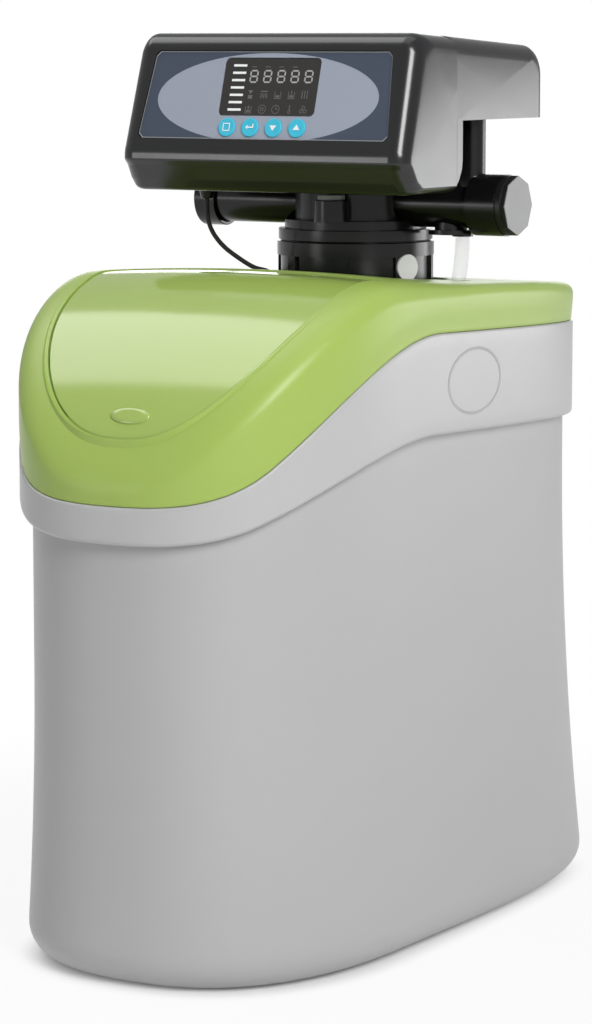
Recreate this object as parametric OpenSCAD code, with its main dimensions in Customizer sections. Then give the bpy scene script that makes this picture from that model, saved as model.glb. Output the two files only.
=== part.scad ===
// Cabinet water softener: a brine tub with a wave-edged cover, a small resin
// vessel inside it, and a motorised control valve on the vessel's neck.
// Millimetres, +Z up, front towards -Y, origin at the middle of the floor.

/* [Tub] */
// Width of the tub at its waist
tub_w = 194; // [190:1:215]
// Reach of the tub from its widest station to the front
tub_front = 134; // [128:1:150]
// Reach of the tub from its widest station to the rear
tub_rear = 241; // [237:1:260]
// Wall of the tub
tub_wall = 3; // [2:0.5:3.5]
// Thickness of the tub's floor
tub_floor = 4; // [3:0.5:6]
// Radius round the foot of the tub
foot_r = 20; // [14:1:24]
// Spread of the foot at the front
flare_front = 5; // [0:0.5:8]
// Spread of the foot at the rear
flare_rear = 13; // [8:0.5:15]
// Height at which the front spread dies out
flare_front_h = 157; // [120:1:190]
// Height at which the rear spread dies out
flare_rear_h = 257; // [210:1:265]

/* [Collar and cover] */
// How far the collar stands out at the rear of the tub
collar_over = 4.7; // [4:0.1:6]
// How much further the collar stands out at the front
collar_nose = 1.8; // [0:0.1:2.5]
// Lower edge of the collar at the front
skirt_front_z = 230; // [224:1:236]
// Rise of the collar's lower edge towards the rear
skirt_rise = 48; // [40:1:52]
// Height of the collar at the front
band_front_h = 20; // [19:0.5:26]
// Rise of the cover's lower edge towards the rear
seam_rise = 82; // [74:1:86]
// Length over which both edges rise
wave_len = 172; // [150:1:185]
// Fall of both edges from the crest to the rear
wave_fall = 7; // [4:0.5:9]
// Wall of the collar and of the cover
cover_wall = 3; // [2.4:0.2:3.4]
// Top of the cover's hump above the floor
hump_z = 364.5; // [358:0.5:370]
// Place of the hump's top
hump_y = -75; // [-85:1:-68]
// Fall from the hump to the rear deck
deck_fall = 12.5; // [8:0.5:14]
// Fall of the hump from its middle to its sides
hump_crown = 3; // [2:0.2:3.6]
// Fall of the deck towards its rear edge
rear_fall = 7; // [5:0.5:8]
// Rounding of the cover's edge at the front
rim_front_r = 17; // [12:0.5:20]
// Rounding of the cover's edge at the rear
rim_rear_r = 7; // [5:0.5:9]
// Drop of the rounded edge at the front corners
rim_front_drop = 12; // [10:0.5:16]

/* [Salt hatch] */
// Distance of the hatch's sides from the cover's outline
hatch_inset = 22; // [21.5:0.5:23]
// How much nearer the hatch comes to the outline at its front
hatch_nose = 9.5; // [8:0.5:10]
// Gap round the hatch
hatch_gap = 1; // [0.6:0.1:1.5]
// Depth of the hatch below the cover
hatch_recess = 0.8; // [0.3:0.1:1.5]
// Upright thickness of the hatch
hatch_t = 5; // [4:0.5:5.5]
// Hinge line of the hatch
hinge_y = -64; // [-67:0.5:-62]
// Depth of the hinge axis below the cover
hinge_depth = 9.5; // [9.2:0.1:9.9]
// Length of the hatch behind its hinge
hatch_tail = 8; // [6:0.5:8.5]
// Radius of the hinge pins
hinge_pin_r = 1.8; // [1.4:0.1:2]
// Radius of the hinge ears and lugs
hinge_ear_r = 4; // [3.6:0.1:4.3]
// Width of a hinge ear on the hatch
hinge_ear_w = 7; // [5:0.5:8]
// Width of a hinge lug on the cover
hinge_lug_w = 6; // [5:0.5:6.5]

/* [Vessel] */
// Place of the vessel and valve behind the middle
valve_y = 57; // [55:0.5:59]
// Radius of the resin vessel
vessel_r = 78; // [72:0.5:80]
// Wall of the vessel
vessel_wall = 3; // [2:0.5:4]
// Shoulder of the vessel, where its upper dome starts
shoulder_z = 292; // [280:1:296]
// Radius of the vessel's neck
neck_r = 36; // [34:0.5:38]
// Top of the vessel's neck
neck_top_z = 352; // [350:1:356]
// Height of the foot ring under the vessel
boot_h = 40; // [30:1:50]
// Top of the resin bed
resin_z = 238; // [180:1:260]
// Radius of the riser tube
riser_r = 13; // [11:0.5:14]

/* [Valve] */
// Radius of the ribbed neck collar
collar_r = 44.2; // [43:0.2:45]
// Radius of the valve base
base_r = 43.4; // [42:0.2:44]
// Underside of the valve base
base_z = 374.7; // [374:0.1:376]
// Height of the valve base
base_h = 6.9; // [6:0.1:7.8]
// Height of the valve body
body_h = 28.9; // [28.4:0.1:30.4]
// Radius of the valve body
body_r = 34; // [32:0.5:36]
// Height of the ports' axis
port_z = 396.2; // [394:0.2:397]
// Outer radius of the port tubes
port_r = 13.2; // [12:0.1:13.4]
// Bore radius of the port tubes
port_bore_r = 10; // [8:0.5:10.5]
// Reach of the open port from the middle
port_reach = 99; // [97:0.5:103]
// Reach of the capped port from the middle
cap_reach = 103; // [101:0.5:105]
// Length of the port cap beyond the meter
cap_l = 6.5; // [5:0.5:8]
// Radius of the meter housing
meter_r = 17; // [16:0.2:18]
// Radius of the drain spigot
drain_r = 6.5; // [5:0.5:8]
// Radius of the ceramic discs
disc_r = 24; // [20:0.5:25]
// Thickness of each ceramic disc
disc_t = 4.5; // [3:0.5:5]
// Radius of the valve spindle
spindle_r = 6; // [5:0.5:7]

/* [Drive] */
// Teeth on the drive gear
gear_teeth = 40; // [40:20:40]
// Teeth on the motor pinion
pinion_teeth = 10; // [10:10:10]
// Module of the gears
gear_module = 1.5; // [1.2:0.1:1.5]
// Thickness of the gears
gear_t = 6; // [4:0.5:7]
// Radius of the drive motor
motor_r = 23; // [18:0.5:25]
// Height of the drive motor
motor_h = 20; // [14:0.5:22]

/* [Control head] */
// Width of the control head
head_w = 180; // [176:1:184]
// Front of the head at the crease under its bezel
crease_y = -50; // [-52:0.5:-48]
// Height of the crease
crease_z = 422.5; // [420:0.5:424]
// Underside of the head's chin
chin_z = 404.6; // [404.4:0.1:408]
// Height of the head's top at its front edge
head_top_z = 490.5; // [488:0.5:494]
// Lean of the control panel
panel_tilt = 16.5; // [14:0.5:18]
// Joint between the front case and the rear cover
split_y = 10; // [6:0.5:14]
// Rear of the rear cover
head_rear_y = 113.5; // [110:0.5:116]
// Lower edge of the rear cover
eaves_z = 443.3; // [440:0.1:446]
// Wall of both head shells
head_wall = 2.6; // [2:0.1:3]
// Rounding of the front case's edges
head_r = 5; // [4:0.5:8]
// Rounding of the rear cover's edges
roof_edge_r = 4; // [3:0.5:6]

/* [Control panel] */
// Width of the panel at its foot
panel_w = 157; // [150:1:160]
// How much narrower the panel is at its top
panel_taper = 8; // [0:0.5:10]
// Height of the panel along its slope
panel_h = 49; // [46:0.5:51]
// Middle of the panel above the crease, along its slope
panel_mid = 36; // [34:0.5:37]
// Thickness of the panel
panel_t = 2; // [1.5:0.1:2.5]
// Depth of the panel below the bezel
panel_sink = 1; // [0.5:0.1:1.5]
// Width of the display window
window_w = 60; // [52:0.5:66]
// Height of the display window
window_h = 32; // [26:0.5:33]
// Sideways place of the window on the panel
window_x = 1; // [0:0.5:2]
// Height of the window above the panel's middle
window_s = 4.8; // [4.2:0.1:5.5]
// Radius of a button
button_r = 5.2; // [4.4:0.1:5.6]
// Spacing of the buttons
button_pitch = 14.7; // [13.5:0.1:16]
// Height of the buttons from the panel's middle
button_s = -18; // [-18.5:0.1:-17.5]
// Travel of a button
button_travel = 1; // [0.6:0.1:1.2]

/* [Brine well] */
// Gap between the brine well and the side of the tub
well_side_gap = 7; // [6.8:0.1:7.2]
// Fore and aft place of the brine well
well_y = -50; // [-50.2:0.1:-49.8]
// Radius of the brine well
well_r = 30; // [26:0.5:31]
// Top of the brine well
well_top_z = 262; // [255:0.5:264]
// Radius of the pick-up tube
pickup_r = 5; // [4:0.5:6]
// Radius of the float
float_r = 20; // [14:0.5:22]
// Height of the float
float_h = 38; // [28:1:44]
// Lowest place of the float's underside
float_low_z = 62; // [50:1:80]
// Travel of the float
float_travel = 80; // [50:1:100]

/* [Clearances] */
// Gap between pieces that seat on each other
seat_gap = 0.2; // [0.1:0.05:0.3]
// Radial gap of running fits
run_gap = 0.06; // [0.04:0.01:0.09]
// Gap between pieces that pass each other
pass_gap = 0.4; // [0.3:0.05:0.5]

/* [Hidden] */
$fn = 64;

// Plan outline: two superellipse halves that meet at the widest station
widest_y = -(tub_rear - tub_front) / 2 - 2.3;
front_n = 2.44;
rear_n = 4.64;
ring_steps = 72;
ring_angles = [for (i = [0 : ring_steps - 1]) i * 360 / ring_steps];
wave_bend = 0.27;
deck_bend = 0.3;
deck_run = 200;
skirt_start = widest_y - tub_front - 17.5;
seam_start = skirt_start + 5;
rear_y = widest_y + tub_rear;
cover_front_y = widest_y - tub_front - collar_over - collar_nose;
seam_front_z = skirt_front_z + band_front_h;
hump_power = 1.6;
deck_z = hump_z - deck_fall;
rim_lap = 14;
ledge_t = 4;
rim_front_y = -85;
rim_rear_y = 25;
crown_front_y = -40;
crown_rear_y = 60;
rear_fall_y = 85;

// Hinge of the salt hatch
hinge_z = top_z(hinge_y) - hinge_depth;
hatch_back_y = hinge_y + hatch_tail;
deck_edge_y = hinge_y + sqrt(pow(hatch_tail, 2) + pow(hinge_depth, 2)) + 0.3;
hatch_half = tub_w / 2 + collar_over - hatch_inset;
lug_x0 = hatch_half + hatch_gap + 1.5;
ear_x1 = hatch_half - 2.5;
hatch_mid_y = (cover_front_y + hatch_back_y) / 2;
hatch_steps = 48;
nose_run = 89;
back_steps = 12;

// Place of the brine well
well_x = tub_w / 2 - tub_wall - well_r - well_side_gap;
well_wall = 2;
well_slot_w = 4;
well_slot_h = 30;
well_slot_z = 8;
well_lift = 0.8;

// Heights up the valve
boot_z = tub_floor + seat_gap;
dome_h = 38;
dome_low_z = boot_z + 4 + dome_h;
body_z = base_z + base_h;
bonnet_z = body_z + body_h + seat_gap;
disc_z = bonnet_z - 2 * disc_t - run_gap - seat_gap;
plate_z = eaves_z + seat_gap;
plate_t = 2.5;
gear_z = plate_z + plate_t + 2;
motor_z = gear_z + gear_t + 3;
gear_pitch_r = gear_module * gear_teeth / 2;
pinion_pitch_r = gear_module * pinion_teeth / 2;
motor_x = gear_pitch_r + pinion_pitch_r;
motor_shaft_r = 2.5;
hole_r = collar_r + 7.8;
hose_r = 4;
hose_notch_x = 66;
hose_x = 68.5;
hose_notch_r = 7.5;
adapter_z = 336;
plug_r = 7.4;
plug_angle = -19;
plug_z = 361;
socket_angle = 225.5;

// Ports
meter_x0 = 78;
meter_x1 = cap_reach - cap_l;
stem_x = 74;
stem_r = 7.5;
elbow_x = 61;
elbow_flange_r = 12.5;
elbow_z = 379.5;
nut_l = 13.5;
drain_reach = 75;
injector_x = 9.5;
injector_y = valve_y - 43.5;

// Profile of the head
panel_lean = tan(panel_tilt);
head_fall = 0.054;
head_front_top_y = crease_y + (head_top_z - crease_z) * panel_lean;
gland_x = -63;
gland_y = 0;

// Routes of the hose and the lead, chosen by hand
hose_route = [[68.5, 57, 382], [68.4, 57, 375], [68, 57, 368], [67.4, 56.3, 360], [66.8, 54.3, 352.5],
  [66.4, 51, 345.5], [66.2, 46.5, 339], [66.1, 41, 333.5], [66, 34.5, 329], [65.8, 27.4, 325.7],
  [65.2, 11.4, 320], [64, -4.5, 314], [62.2, -20.4, 308.3], [61, -27.5, 305], [60, -34, 300.5],
  [59, -39.5, 295], [58.2, -44, 288.5], [57.6, -47.3, 281.4], [57.1, -49.3, 273.8], [57, -50, 266]];
lead_route = [[-63, 0, 401], [-63, 0, 396], [-63, 0.4, 390.5], [-62.5, 1, 385.5], [-60.9, 2, 380.4],
  [-57.8, 3.5, 375.2], [-53.7, 5.5, 370.5], [-49.6, 8, 366.8], [-45.9, 10.5, 363.7], [-42.9, 12.9, 361.3],
  [-40.4, 15.5, 359.6], [-38.2, 18.1, 358.7], [-36.2, 20.1, 357.9], [-35.1, 21.2, 356.6],
  [-34.4, 21.9, 354.9], [-34.2, 22.2, 352.6], [-34.2, 22.2, 347], [-34.2, 22.2, 340]];
lead_r = 1.3;

// Smooth step from 0 to 1
function ease(u) = u <= 0 ? 0 : u >= 1 ? 1 : u * u * (3 - 2 * u);

// Rise from 0 to 1 made of two parabolas that meet at bend
function swell(u, bend) = u <= 0 ? 0 : u >= 1 ? 1
  : u < bend ? u * u / bend : 1 - (1 - u) * (1 - u) / (1 - bend);

// Point of the plan outline at angle a, grown outwards
function plan(a, grow) =
  let (n = sin(a) < 0 ? front_n : rear_n,
       reach = (sin(a) < 0 ? tub_front : tub_rear) + grow,
       r = pow(pow(abs(cos(a)), n) + pow(abs(sin(a)), n), -1 / n))
  [(tub_w / 2 + grow) * r * cos(a), widest_y + reach * r * sin(a)];

// Spread of the tub's foot at height z
function flare(y, z) =
  let (w = ease((y - widest_y + tub_front) / (tub_front + tub_rear)))
  (1 - w) * flare_front * pow(1 - min(z / flare_front_h, 1), 2)
  + w * flare_rear * pow(1 - min(z / flare_rear_h, 1), 2);

// Wave edges of the collar and the cover
function wave_z(y, start, z0, rise) =
  let (crest = start + wave_len)
  z0 + rise * swell((y - start) / wave_len, wave_bend)
  - wave_fall * max(0, (y - crest) / (rear_y - crest));
function skirt_z(y) = wave_z(y, skirt_start, skirt_front_z, skirt_rise);
function seam_z(y) = wave_z(y, seam_start, seam_front_z, seam_rise);

// Ridge line of the cover: a rounded front, a hump and a deck
function top_z(y) = y < hump_y
  ? let (u = min(1, (hump_y - y) / (hump_y - cover_front_y)))
    seam_front_z + (hump_z - seam_front_z) * pow(1 - pow(u, hump_power), 1 / hump_power)
  : deck_z + deck_fall * (1 - swell((y - hump_y) / deck_run, deck_bend))
    - rear_fall * pow(max(0, (y - rear_fall_y) / (rear_y - rear_fall_y)), 1.5);

// Top of the cover at a point of the plan, with the hump's sides lower than its middle
function crown(x, y) = hump_crown * pow(x / (tub_w / 2 - 9), 2)
  * (1 - ease((y - crown_front_y) / (crown_rear_y - crown_front_y)));
function top(p) = top_z(p.y) - crown(p.x, p.y);

// Rounded edge of the cover
function rim_share(y) = ease((y - rim_front_y) / (rim_rear_y - rim_front_y));
function rim_r(y) = rim_front_r + (rim_rear_r - rim_front_r) * rim_share(y);
function rim_drop(y) = rim_front_drop + (rim_rear_r - rim_front_drop) * rim_share(y);

// Ring of the tub's wall, inset from its outside
function tub_ring(inset, z) =
  [for (a = ring_angles) let (p = plan(a, flare(plan(a, 0).y, z) - inset)) [p.x, p.y, z]];
function tub_rise_ring(inset, share) =
  [for (a = ring_angles)
    let (y = plan(a, 0).y,
         z = foot_r + share * (skirt_z(y) + rim_lap - foot_r),
         p = plan(a, flare(y, z) - inset))
    [p.x, p.y, z]];

// Overhang of the collar and the cover at angle a
function over(a) =
  collar_over + collar_nose * (1 - ease((plan(a, 0).y - widest_y + tub_front) / (tub_front + tub_rear)));

// Ring of the collar: inset from its face, above its lower edge or below its upper edge
function collar_ring(inset, lift, upper = false) =
  [for (a = ring_angles)
    let (y = plan(a, 0).y, p = plan(a, over(a) - inset))
    [p.x, p.y, (upper ? seam_z(y) : skirt_z(y)) + lift]];

// Ring of the collar that follows the tub's face
function tub_face_ring(grow, lift) =
  [for (a = ring_angles) let (y = plan(a, 0).y, p = plan(a, grow + 0.1)) [p.x, p.y, skirt_z(y) + lift]];

// Ring of the cover's rounded edge, from 0 on the upright wall to 1 on the top, tangent to both
function rim_ring(t, sink) =
  [for (a = ring_angles)
    let (y = plan(a, 0).y,
         r = rim_r(y),
         grow = over(a) - sink,
         low = seam_z(y) + 2 * seat_gap,
         inner = top(plan(a, grow - r)),
         bend = max(low, inner - (top(plan(a, grow - r - 1)) - inner) * r),
         wall = max(low, bend - rim_drop(y)),
         p = plan(a, grow - r * t * t))
    [p.x, p.y, max(low + 3 * t, (1 - t) * (1 - t) * wall + 2 * t * (1 - t) * bend + t * t * inner - sink)]];
function seam_ring(sink) =
  [for (a = ring_angles)
    let (y = plan(a, 0).y, p = plan(a, over(a) - sink)) [p.x, p.y, seam_z(y) + seat_gap]];
function deck_ring(share, sink) =
  [for (a = ring_angles)
    let (y = plan(a, 0).y,
         p = plan(a, over(a) - sink - rim_r(y)),
         q = [p.x * share, widest_y + (p.y - widest_y) * share])
    [q.x, q.y, top(q) - sink]];

// Outline of the hatch: its front follows the cover, its back is straight
function nose(a) = hatch_nose * (1 - min(1, (plan(a, 0).y - widest_y + tub_front) / nose_run));
function hatch_outline(inset, back_y) =
  let (turn = asin((widest_y - back_y) / ((back_y > widest_y ? tub_rear : tub_front) + collar_over - inset)),
       front = [for (i = [0 : hatch_steps])
         let (a = 180 + turn + (180 - 2 * turn) * i / hatch_steps) plan(a, over(a) - inset + nose(a))],
       last = front[hatch_steps],
       first = front[0])
  concat(front, [for (i = [1 : back_steps - 1]) last + (first - last) * i / back_steps]);
function hatch_ring(inset, share, sink) =
  [for (p = hatch_outline(inset, hatch_back_y))
    let (q = [p.x * share, hatch_mid_y + (p.y - hatch_mid_y) * share])
    [q.x, q.y, top(q) - sink]];

// Closed skin through rings, with a point at each end
module skin(rings, first, last) {
  n = len(rings[0]);
  m = len(rings);
  tip = n * m;
  polyhedron(
    points = concat([for (r = rings) for (p = r) p], [first, last]),
    faces = concat(
      [for (j = [0 : n - 1]) [tip, j, (j + 1) % n]],
      [for (i = [0 : m - 2]) for (j = [0 : n - 1])
        [i * n + j, (i + 1) * n + j, (i + 1) * n + (j + 1) % n]],
      [for (i = [0 : m - 2]) for (j = [0 : n - 1])
        [i * n + j, (i + 1) * n + (j + 1) % n, i * n + (j + 1) % n]],
      [for (j = [0 : n - 1]) [tip + 1, (m - 1) * n + (j + 1) % n, (m - 1) * n + j]]));
}

// Closed skin through rings that run round a section and back to the first
module hoop(rings) {
  n = len(rings[0]);
  m = len(rings);
  polyhedron(
    points = [for (r = rings) for (p = r) p],
    faces = concat(
      [for (i = [0 : m - 1]) for (j = [0 : n - 1])
        [i * n + j, ((i + 1) % m) * n + j, ((i + 1) % m) * n + (j + 1) % n]],
      [for (i = [0 : m - 1]) for (j = [0 : n - 1])
        [i * n + j, ((i + 1) % m) * n + (j + 1) % n, i * n + (j + 1) % n]]));
}

// Round cord of eight sides along a route; side is never along the route
module cord(route, r, side) {
  last = len(route) - 1;
  rings = [for (i = [0 : last])
    let (t = route[min(i + 1, last)] - route[max(i - 1, 0)],
         u = cross(t, side) / norm(cross(t, side)),
         v = cross(u, t) / norm(t))
    [for (k = [0 : 7]) route[i] + r * (cos(45 * k) * u + sin(45 * k) * v)]];
  skin(rings, route[0], route[last]);
}

module ring_of(r, bore, h) {
  difference() {
    cylinder(r = r, h = h);
    translate([0, 0, -1]) cylinder(r = bore, h = h + 2);
  }
}

module at_valve(z) { translate([0, valve_y, z]) children(); }
module along_x(x0, z) { translate([x0, valve_y, z]) rotate([0, 90, 0]) children(); }
module at_well(z) { translate([well_x, well_y, z]) children(); }

// Frame of the control panel: X across, Y up its slope, Z out of it
module on_panel() {
  translate([0, crease_y, crease_z]) rotate([90 - panel_tilt, 0, 0])
    translate([0, panel_mid, -panel_sink]) children();
}
module plate(w, h, t, r) {
  linear_extrude(t) difference() {
    square([w, h], center = true);
    for (x = [-1, 1], y = [-1, 1]) translate([x * w / 2, y * h / 2]) difference() {
      square(2 * r, center = true);
      translate([-x * r, -y * r]) circle(r);
    }
  }
}

// Face of the control panel, grown outwards: narrower at its top, with clipped corners
module panel_plate(grow, t) {
  b = panel_w / 2 + grow;
  u = (panel_w - panel_taper) / 2 + grow;
  h = panel_h / 2 + grow;
  c = 2.5;
  linear_extrude(t) polygon([[c - b, -h], [b - c, -h], [b, c - h], [u, h - c], [u - c, h],
    [c - u, h], [-u, h - c], [-b, c - h]]);
}

module brine_tub() color("silver") skin(
  concat(
    [for (turn = [90 : -22.5 : 0]) tub_ring(foot_r * (1 - cos(turn)), foot_r * (1 - sin(turn)))],
    [for (share = [0.2 : 0.2 : 1]) tub_rise_ring(0, share)],
    [for (share = [1 : -0.25 : 0]) tub_rise_ring(tub_wall, share)],
    [for (turn = [30 : 30 : 90]) tub_ring(
      tub_wall + (foot_r - tub_wall) * (1 - cos(turn)),
      tub_floor + (foot_r - tub_floor) * (1 - sin(turn)))]),
  [0, widest_y, 0], [0, widest_y, tub_floor]);

module cabinet_collar() color("lightgray") hoop([
  tub_face_ring(pass_gap, 0),
  collar_ring(2.5, 0),
  collar_ring(0.7, 0.7),
  collar_ring(0, 2.5),
  collar_ring(0, 0, true),
  collar_ring(cover_wall, 0, true),
  collar_ring(cover_wall, rim_lap + seat_gap + ledge_t),
  tub_face_ring(-tub_wall - 2, rim_lap + seat_gap + ledge_t),
  tub_face_ring(-tub_wall - 2, rim_lap + seat_gap),
  tub_face_ring(pass_gap, rim_lap + seat_gap)]);

// Round end and web of a hinge ear or lug, from x0 along X
module knuckle(x0, w, web) {
  translate([x0, hinge_y, hinge_z]) rotate([0, 90, 0]) cylinder(r = hinge_ear_r, h = w);
  translate([x0, hinge_y - hinge_ear_r, hinge_z]) cube([w, 2 * hinge_ear_r, web]);
}
module pin_bore(r) {
  translate([0, hinge_y, hinge_z]) rotate([0, 90, 0]) cylinder(r = r, h = tub_w, center = true);
}

module top_cover() color("yellowgreen") difference() {
  union() {
    difference() {
      skin(
        concat(
          [for (share = [0.3, 0.6]) deck_ring(share, cover_wall)],
          [for (t = [1, 0.75, 0.5, 0.25, 0]) rim_ring(t, cover_wall)],
          [seam_ring(cover_wall), seam_ring(0)],
          [for (t = [0 : 0.2 : 1]) rim_ring(t, 0)],
          [for (share = [0.75, 0.5, 0.25]) deck_ring(share, 0)]),
        [0, widest_y, top_z(widest_y) - cover_wall], [0, widest_y, top_z(widest_y)]);
      translate([0, 0, seam_front_z]) linear_extrude(hump_z)
        polygon(hatch_outline(hatch_inset - hatch_gap, deck_edge_y));
      at_valve(deck_z - 20) cylinder(r = hole_r, h = 40);
      at_valve(deck_z - 20) translate([hose_notch_x, 0, 0]) cylinder(r = hose_notch_r, h = 40);
      at_valve(deck_z) translate([hose_notch_x / 2, 0, 0])
        cube([hose_notch_x, 2 * hose_notch_r, 40], center = true);
    }
    for (x = [lug_x0, -lug_x0 - hinge_lug_w]) knuckle(x, hinge_lug_w,
      hinge_depth - cover_wall / 2 - crown(lug_x0 + hinge_lug_w, hinge_y));
  }
  translate([-lug_x0 - hinge_lug_w + 1, hinge_y, hinge_z]) rotate([0, 90, 0])
    cylinder(r = hinge_pin_r, h = 2 * (lug_x0 + hinge_lug_w - 1));
}

module salt_hatch() color("yellowgreen") difference() {
  union() {
    skin(
      concat(
        [for (share = [0.25, 0.5, 0.75, 1]) hatch_ring(hatch_inset + 4, share, hatch_recess + hatch_t)],
        [for (share = [1, 0.8, 0.6, 0.4, 0.2]) hatch_ring(hatch_inset, share, hatch_recess)]),
      [0, hatch_mid_y, top_z(hatch_mid_y) - hatch_recess - hatch_t],
      [0, hatch_mid_y, top_z(hatch_mid_y) - hatch_recess]);
    for (x = [ear_x1 - hinge_ear_w, -ear_x1]) knuckle(x, hinge_ear_w,
      hinge_depth - hatch_recess - 1.5 - crown(ear_x1, hinge_y));
  }
  pin_bore(hinge_pin_r + run_gap);
}

module hatch_pins() color("gainsboro") for (side = [0, 180])
  translate([0, hinge_y, hinge_z]) rotate([side, 90, 0]) translate([0, 0, ear_x1 - hinge_ear_w])
    cylinder(r = hinge_pin_r, h = lug_x0 + hinge_lug_w - 1.2 - ear_x1 + hinge_ear_w);

// Half outline of the vessel, shrunk inwards by its wall
function vessel_outline(shrink) = concat(
  [for (a = [0 : 10 : 90]) [(vessel_r - shrink) * sin(a), dome_low_z - (dome_h - shrink) * cos(a)]],
  [for (a = [0 : 10 : 90])
    [neck_r - shrink + (vessel_r - neck_r) * cos(a),
      shoulder_z + (neck_top_z - 18 - shrink - shoulder_z) * sin(a)]]);

module pressure_vessel() color("steelblue") at_valve(0) difference() {
  rotate_extrude() polygon(concat(vessel_outline(0), [[neck_r, neck_top_z], [0, neck_top_z]]));
  rotate_extrude() polygon(concat(vessel_outline(vessel_wall),
    [[neck_r - vessel_wall, neck_top_z + 1], [0, neck_top_z + 1]]));
}

module vessel_boot() color("dimgray") at_valve(boot_z) difference() {
  cylinder(r = vessel_r + 2, h = boot_h);
  translate([0, 0, -boot_z]) rotate_extrude() polygon(concat(
    [[0, dome_low_z - dome_h - seat_gap]],
    [for (a = [0 : 10 : 90]) [(vessel_r + seat_gap) * sin(a), dome_low_z - (dome_h + seat_gap) * cos(a)]],
    [[vessel_r + seat_gap, boot_z + boot_h + 1], [0, boot_z + boot_h + 1]]));
  translate([0, 0, -1]) cylinder(r = vessel_r / 2, h = boot_h);
}

strainer_z = dome_low_z - dome_h + vessel_wall + 2;
strainer_t = 7;
strainer_rim = 4;
strainer_slot_w = 1.6;
strainer_foot_h = 9.8;
lower_strainer_h = 40;
upper_strainer_h = 38;
upper_strainer_drop = 34;
module riser_tube() color("white") at_valve(strainer_z + strainer_foot_h + seat_gap)
  ring_of(riser_r, riser_r - 2, body_z - strainer_z - strainer_foot_h - 2);

module strainer(r, h) {
  difference() {
    ring_of(r, riser_r + seat_gap, h);
    for (i = [0 : 11]) rotate(i * 30) translate([riser_r + 2, -strainer_slot_w / 2, strainer_rim])
      cube([r, strainer_slot_w, h - 2 * strainer_rim]);
  }
}
module lower_strainer() color("white") at_valve(strainer_z) {
  cylinder(r = riser_r + strainer_t, h = strainer_foot_h);
  translate([0, 0, strainer_foot_h]) strainer(riser_r + strainer_t, lower_strainer_h);
}
module upper_strainer() color("white") at_valve(neck_top_z - upper_strainer_drop)
  strainer(riser_r + strainer_t + 1, upper_strainer_h);

module resin_bed() color("goldenrod") at_valve(0) difference() {
  rotate_extrude() polygon(concat(
    [for (a = [0 : 10 : 90])
      let (shrink = vessel_wall + 0.5)
      [(vessel_r - shrink) * sin(a), dome_low_z - (dome_h - shrink) * cos(a)]],
    [[vessel_r - vessel_wall - 0.5, resin_z], [0, resin_z]]));
  cylinder(r = riser_r + strainer_t + 0.5, h = strainer_z + strainer_foot_h + lower_strainer_h + 1);
  cylinder(r = riser_r + 0.5, h = resin_z + 1);
}

module plug_bore(r) {
  at_valve(plug_z) rotate(plug_angle) rotate([0, 90, 0]) cylinder(r = r, h = collar_r + 10);
}
module neck_collar() color("black") difference() {
  at_valve(adapter_z) union() {
    ring_of(collar_r - 2, neck_r + seat_gap, neck_top_z - adapter_z);
    ring_of(collar_r - 2, 24, base_z - adapter_z - seat_gap);
    translate([0, 0, base_z - adapter_z - 7.8]) ring_of(collar_r, 30, 7.8 - seat_gap);
    for (i = [0 : 7]) rotate(i * 45 - 70) translate([collar_r - 5, -3.5, 0])
      cube([4.6, 7, base_z - adapter_z - 7]);
  }
  at_valve(adapter_z - 1) cylinder(r = neck_r + seat_gap, h = neck_top_z + seat_gap - adapter_z + 1);
  difference() {
    plug_bore(plug_r + seat_gap);
    at_valve(plug_z - 20) cylinder(r = collar_r - 3.6, h = 40);
  }
}
module neck_plug() color("white") difference() {
  plug_bore(plug_r);
  at_valve(plug_z - 20) cylinder(r = collar_r - 3.4, h = 40);
  at_valve(plug_z - 20) difference() {
    cylinder(r = collar_r + 30, h = 40);
    translate([0, 0, -1]) cylinder(r = collar_r + 0.8, h = 42);
  }
}

spigot_r = 23.4;
seal_r = 1.3;
module valve_base() color("black") difference() {
  at_valve(base_z) union() {
    cylinder(r = base_r - 1, h = base_h);
    translate([0, 0, 0.8]) cylinder(r = base_r, h = base_h - 0.8);
    translate([0, 0, -12]) cylinder(r = spigot_r, h = 13);
  }
  at_valve(base_z - 13) cylinder(r = 18, h = base_h + 20);
  at_valve(base_z - 6) rotate_extrude() translate([spigot_r - 0.8, 0]) circle(r = seal_r + seat_gap);
}
module neck_seal() color("dimgray")
  at_valve(base_z - 6) rotate_extrude() translate([spigot_r - 0.8, 0]) circle(r = seal_r);

module valve_body() color("black") difference() {
  union() {
    at_valve(body_z) cylinder(r = body_r, h = body_h);
    at_valve(body_z) cylinder(r = body_r + 6, h = 5);
    at_valve(body_z + body_h - 5) cylinder(r = body_r + 4, h = 5);
    along_x(-port_reach, port_z) cylinder(r = port_r, h = port_reach + meter_x1 - 6);
    translate([0, valve_y, port_z - 2]) rotate([-90, 0, 0]) cylinder(r = drain_r + 3, h = body_r + 8);
  }
  at_valve(disc_z) cylinder(r = disc_r + seat_gap, h = body_h);
  at_valve(body_z - 1) cylinder(r = 14, h = body_h);
  along_x(-port_reach - 1, port_z) cylinder(r = port_bore_r, h = port_reach - 27);
  along_x(28, port_z) cylinder(r = port_bore_r, h = port_reach);
  translate([0, valve_y + 26, port_z - 2]) rotate([-90, 0, 0]) cylinder(r = drain_r - 2, h = body_r);
  translate([0, valve_y + body_r, port_z - 2]) rotate([-90, 0, 0])
    cylinder(r = drain_r + seat_gap, h = body_r);
  at_valve(body_z - 1) translate([elbow_x, 0, 0]) cylinder(r = 5, h = 8);
}

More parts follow.
